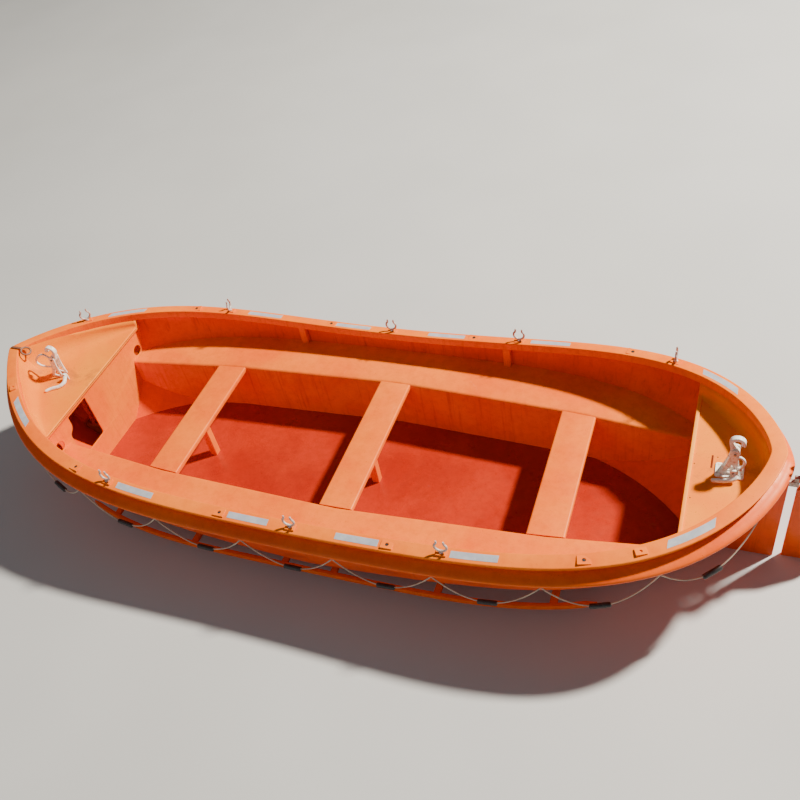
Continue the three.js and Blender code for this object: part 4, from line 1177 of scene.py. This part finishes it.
for side, name in SIDES:
    route = line_path(side, np.linspace(0, 1, 1600))
    line = rod(f"grab_rope_{name}", route, LINE_RADIUS, 9, side=(0.02, 1.0, 0.01), lobes=3,
               twist=190.0)
    fasten(line, rope, f"grab_line_{name}")
    for k in range(BIGHTS):
        centre = (k + 0.5) / BIGHTS
        route = line_path(side, centre + np.linspace(-0.0005, 0.0005, 3))
        ahead = route[2] - route[0]
        ahead /= np.linalg.norm(ahead)
        t = np.array([-1, -0.99, -0.95, -0.88, -0.4, 0, 0.4, 0.88, 0.95, 0.99, 1])
        size = FLOAT_RADIUS * np.array([0.36, 0.6, 0.86, 0.98, 1, 1, 1, 0.98, 0.86, 0.6, 0.36])
        path = route[1] + t[:, None] * ahead * FLOAT_LENGTH / 2
        buoy = rod(f"line_float_{name}_{k + 1}", path, size, 20, side=(0.02, 1, 0.01))
        fasten(buoy, float_rubber)
    for k in range(BIGHTS + 1):
        x, y, _ = line_path(side, k / BIGHTS)
        level = sheer(x) - EYE_DEPTH
        eye = upright_post(f"line_eye_{name}_{k + 1}", (x - EYE_HALF, x + EYE_HALF),
                           (y - EYE_HALF, y + EYE_HALF), (level, level + 0.02), 0.003)
        fasten(eye, strake_coat)

# Reflective tapes
# Strips of grey glass-bead tape, 300 mm by 46 mm, stuck along the middle of the cap. They are
# scuffed and stained brown in places.
TAPES = {
    -1: (-2.430, -1.190, -0.290, 0.500, 1.275, 2.480),
    1: (-2.262, -1.105, -0.310, 0.486, 1.310, 2.526),
}
tape = Finish("bead_tape", "hull_orange", Specular_IOR_Level=0.6)
cells = tape.add("TexVoronoi", "Distance", {"Vector": tape.place, "Scale": 260.0})
tape_tone = tape.ramp(tape.noise(14, 6, 0.7), 0.35, 0.7)
tape_tone = tape.mix(tape_tone, (0.33, 0.34, 0.39), (0.44, 0.44, 0.47))
dirt = tape.ramp(tape.noise(40, 7, 0.75), 0.60, 0.72, 0.0, 0.6)
tape_tone = tape.mix(dirt, tape_tone, (0.34, 0.20, 0.14))
tape.give("Base Color", tape_tone)
tape.give("Roughness", tape.ramp(cells, 0.0, 0.6, 0.35, 0.6))
tape.bump(cells, 0.2, 0.0004)
plan = np.linspace(-HALF_LENGTH, HALF_LENGTH, 3001)
run = edge_run(plan, 0.046)
insets = np.array([0.023, 0.023, 0.028, 0.046, 0.064, 0.069, 0.069])
lift = np.array([-0.001, 0.0006, 0.0008, 0.0008, 0.0008, 0.0006, -0.001])
for side, name in SIDES:
    for k, centre in enumerate(TAPES[side]):
        middle = np.interp(centre, plan, run)
        x = np.interp(middle + np.linspace(-0.15, 0.15, 25), run, plan)[:, None]
        z = sheer(x) + CAP_CAMBER * insets / CAP_WIDTH + lift
        grid = grid_of(x, side * half_breadth(x, insets), z)
        strip = surface(f"tape_{name}_{k + 1}", grid, caps=True, sharp=60)
        fasten(strip, tape)

# Floor of the picture
# A plain pale sheet at the waterline, much wider than the view. A hole in it follows the
# hull, so that the boat's bottom passes through.
FLOOR_REACH = 40.0
stage_paint = Finish("pale_floor", Roughness=0.8)
stage_tone = stage_paint.ramp(stage_paint.noise(0.5, 2), 0.3, 0.7)
stage_tone = stage_paint.mix(stage_tone, (0.50, 0.495, 0.49), (0.53, 0.525, 0.52))
stage_paint.give("Base Color", stage_tone)
span = np.linspace(0, HALF_LENGTH, 4001)
tip = span[keel_line(span, 0.006) < 0].max()
share = toward_tips(161)[None, :]
half_hole = hull_side(tip * share, 0.0, 0.006) * (np.abs(share) < 1)
hole_x, hole_y, _ = np.moveaxis(both_sides(tip * share, half_hole, 0.0), -1, 0)
turn = np.arctan2(hole_y, hole_x)
growth = np.array([0.0, 0.02, 0.08, 0.3, 1.0])[:, None]
floor_x = hole_x * (1 - growth) + FLOOR_REACH * np.cos(turn) * growth
floor_y = hole_y * (1 - growth) + FLOOR_REACH * np.sin(turn) * growth
stage_floor = surface("stage_floor", grid_of(floor_x, floor_y, 0.0), closed=False)
stage_floor.data.materials.append(stage_paint.material)

# Light
# A soft key from high on the starboard quarter, a weak fill from port, and a pale sky.
def soft_light(name, place, target, size, power, tint):
    lamp = bpy.data.lights.new(name, "AREA")
    lamp.shape = "DISK"
    lamp.size = size
    lamp.energy = power
    lamp.color = tint
    holder = bpy.data.objects.new(name, lamp)
    holder.location = place
    direction = Vector(target) - holder.location
    holder.rotation_euler = direction.to_track_quat("-Z", "Y").to_euler()
    bpy.context.scene.collection.objects.link(holder)


soft_light("key", (13.2, 10.2, 18.4), (0, 0, 0.4), 1.8, 17500, (1.0, 0.95, 0.83))
soft_light("fill", (-4.0, -9.0, 6.0), (0, 0, 0.3), 6.0, 110, (0.95, 0.97, 1.0))
world = bpy.data.worlds.new("sky")
bpy.context.scene.world = world
world.use_nodes = True
world.node_tree.nodes["Background"].inputs["Color"].default_value = (0.93, 0.95, 1.0, 1.0)
world.node_tree.nodes["Background"].inputs["Strength"].default_value = 0.17
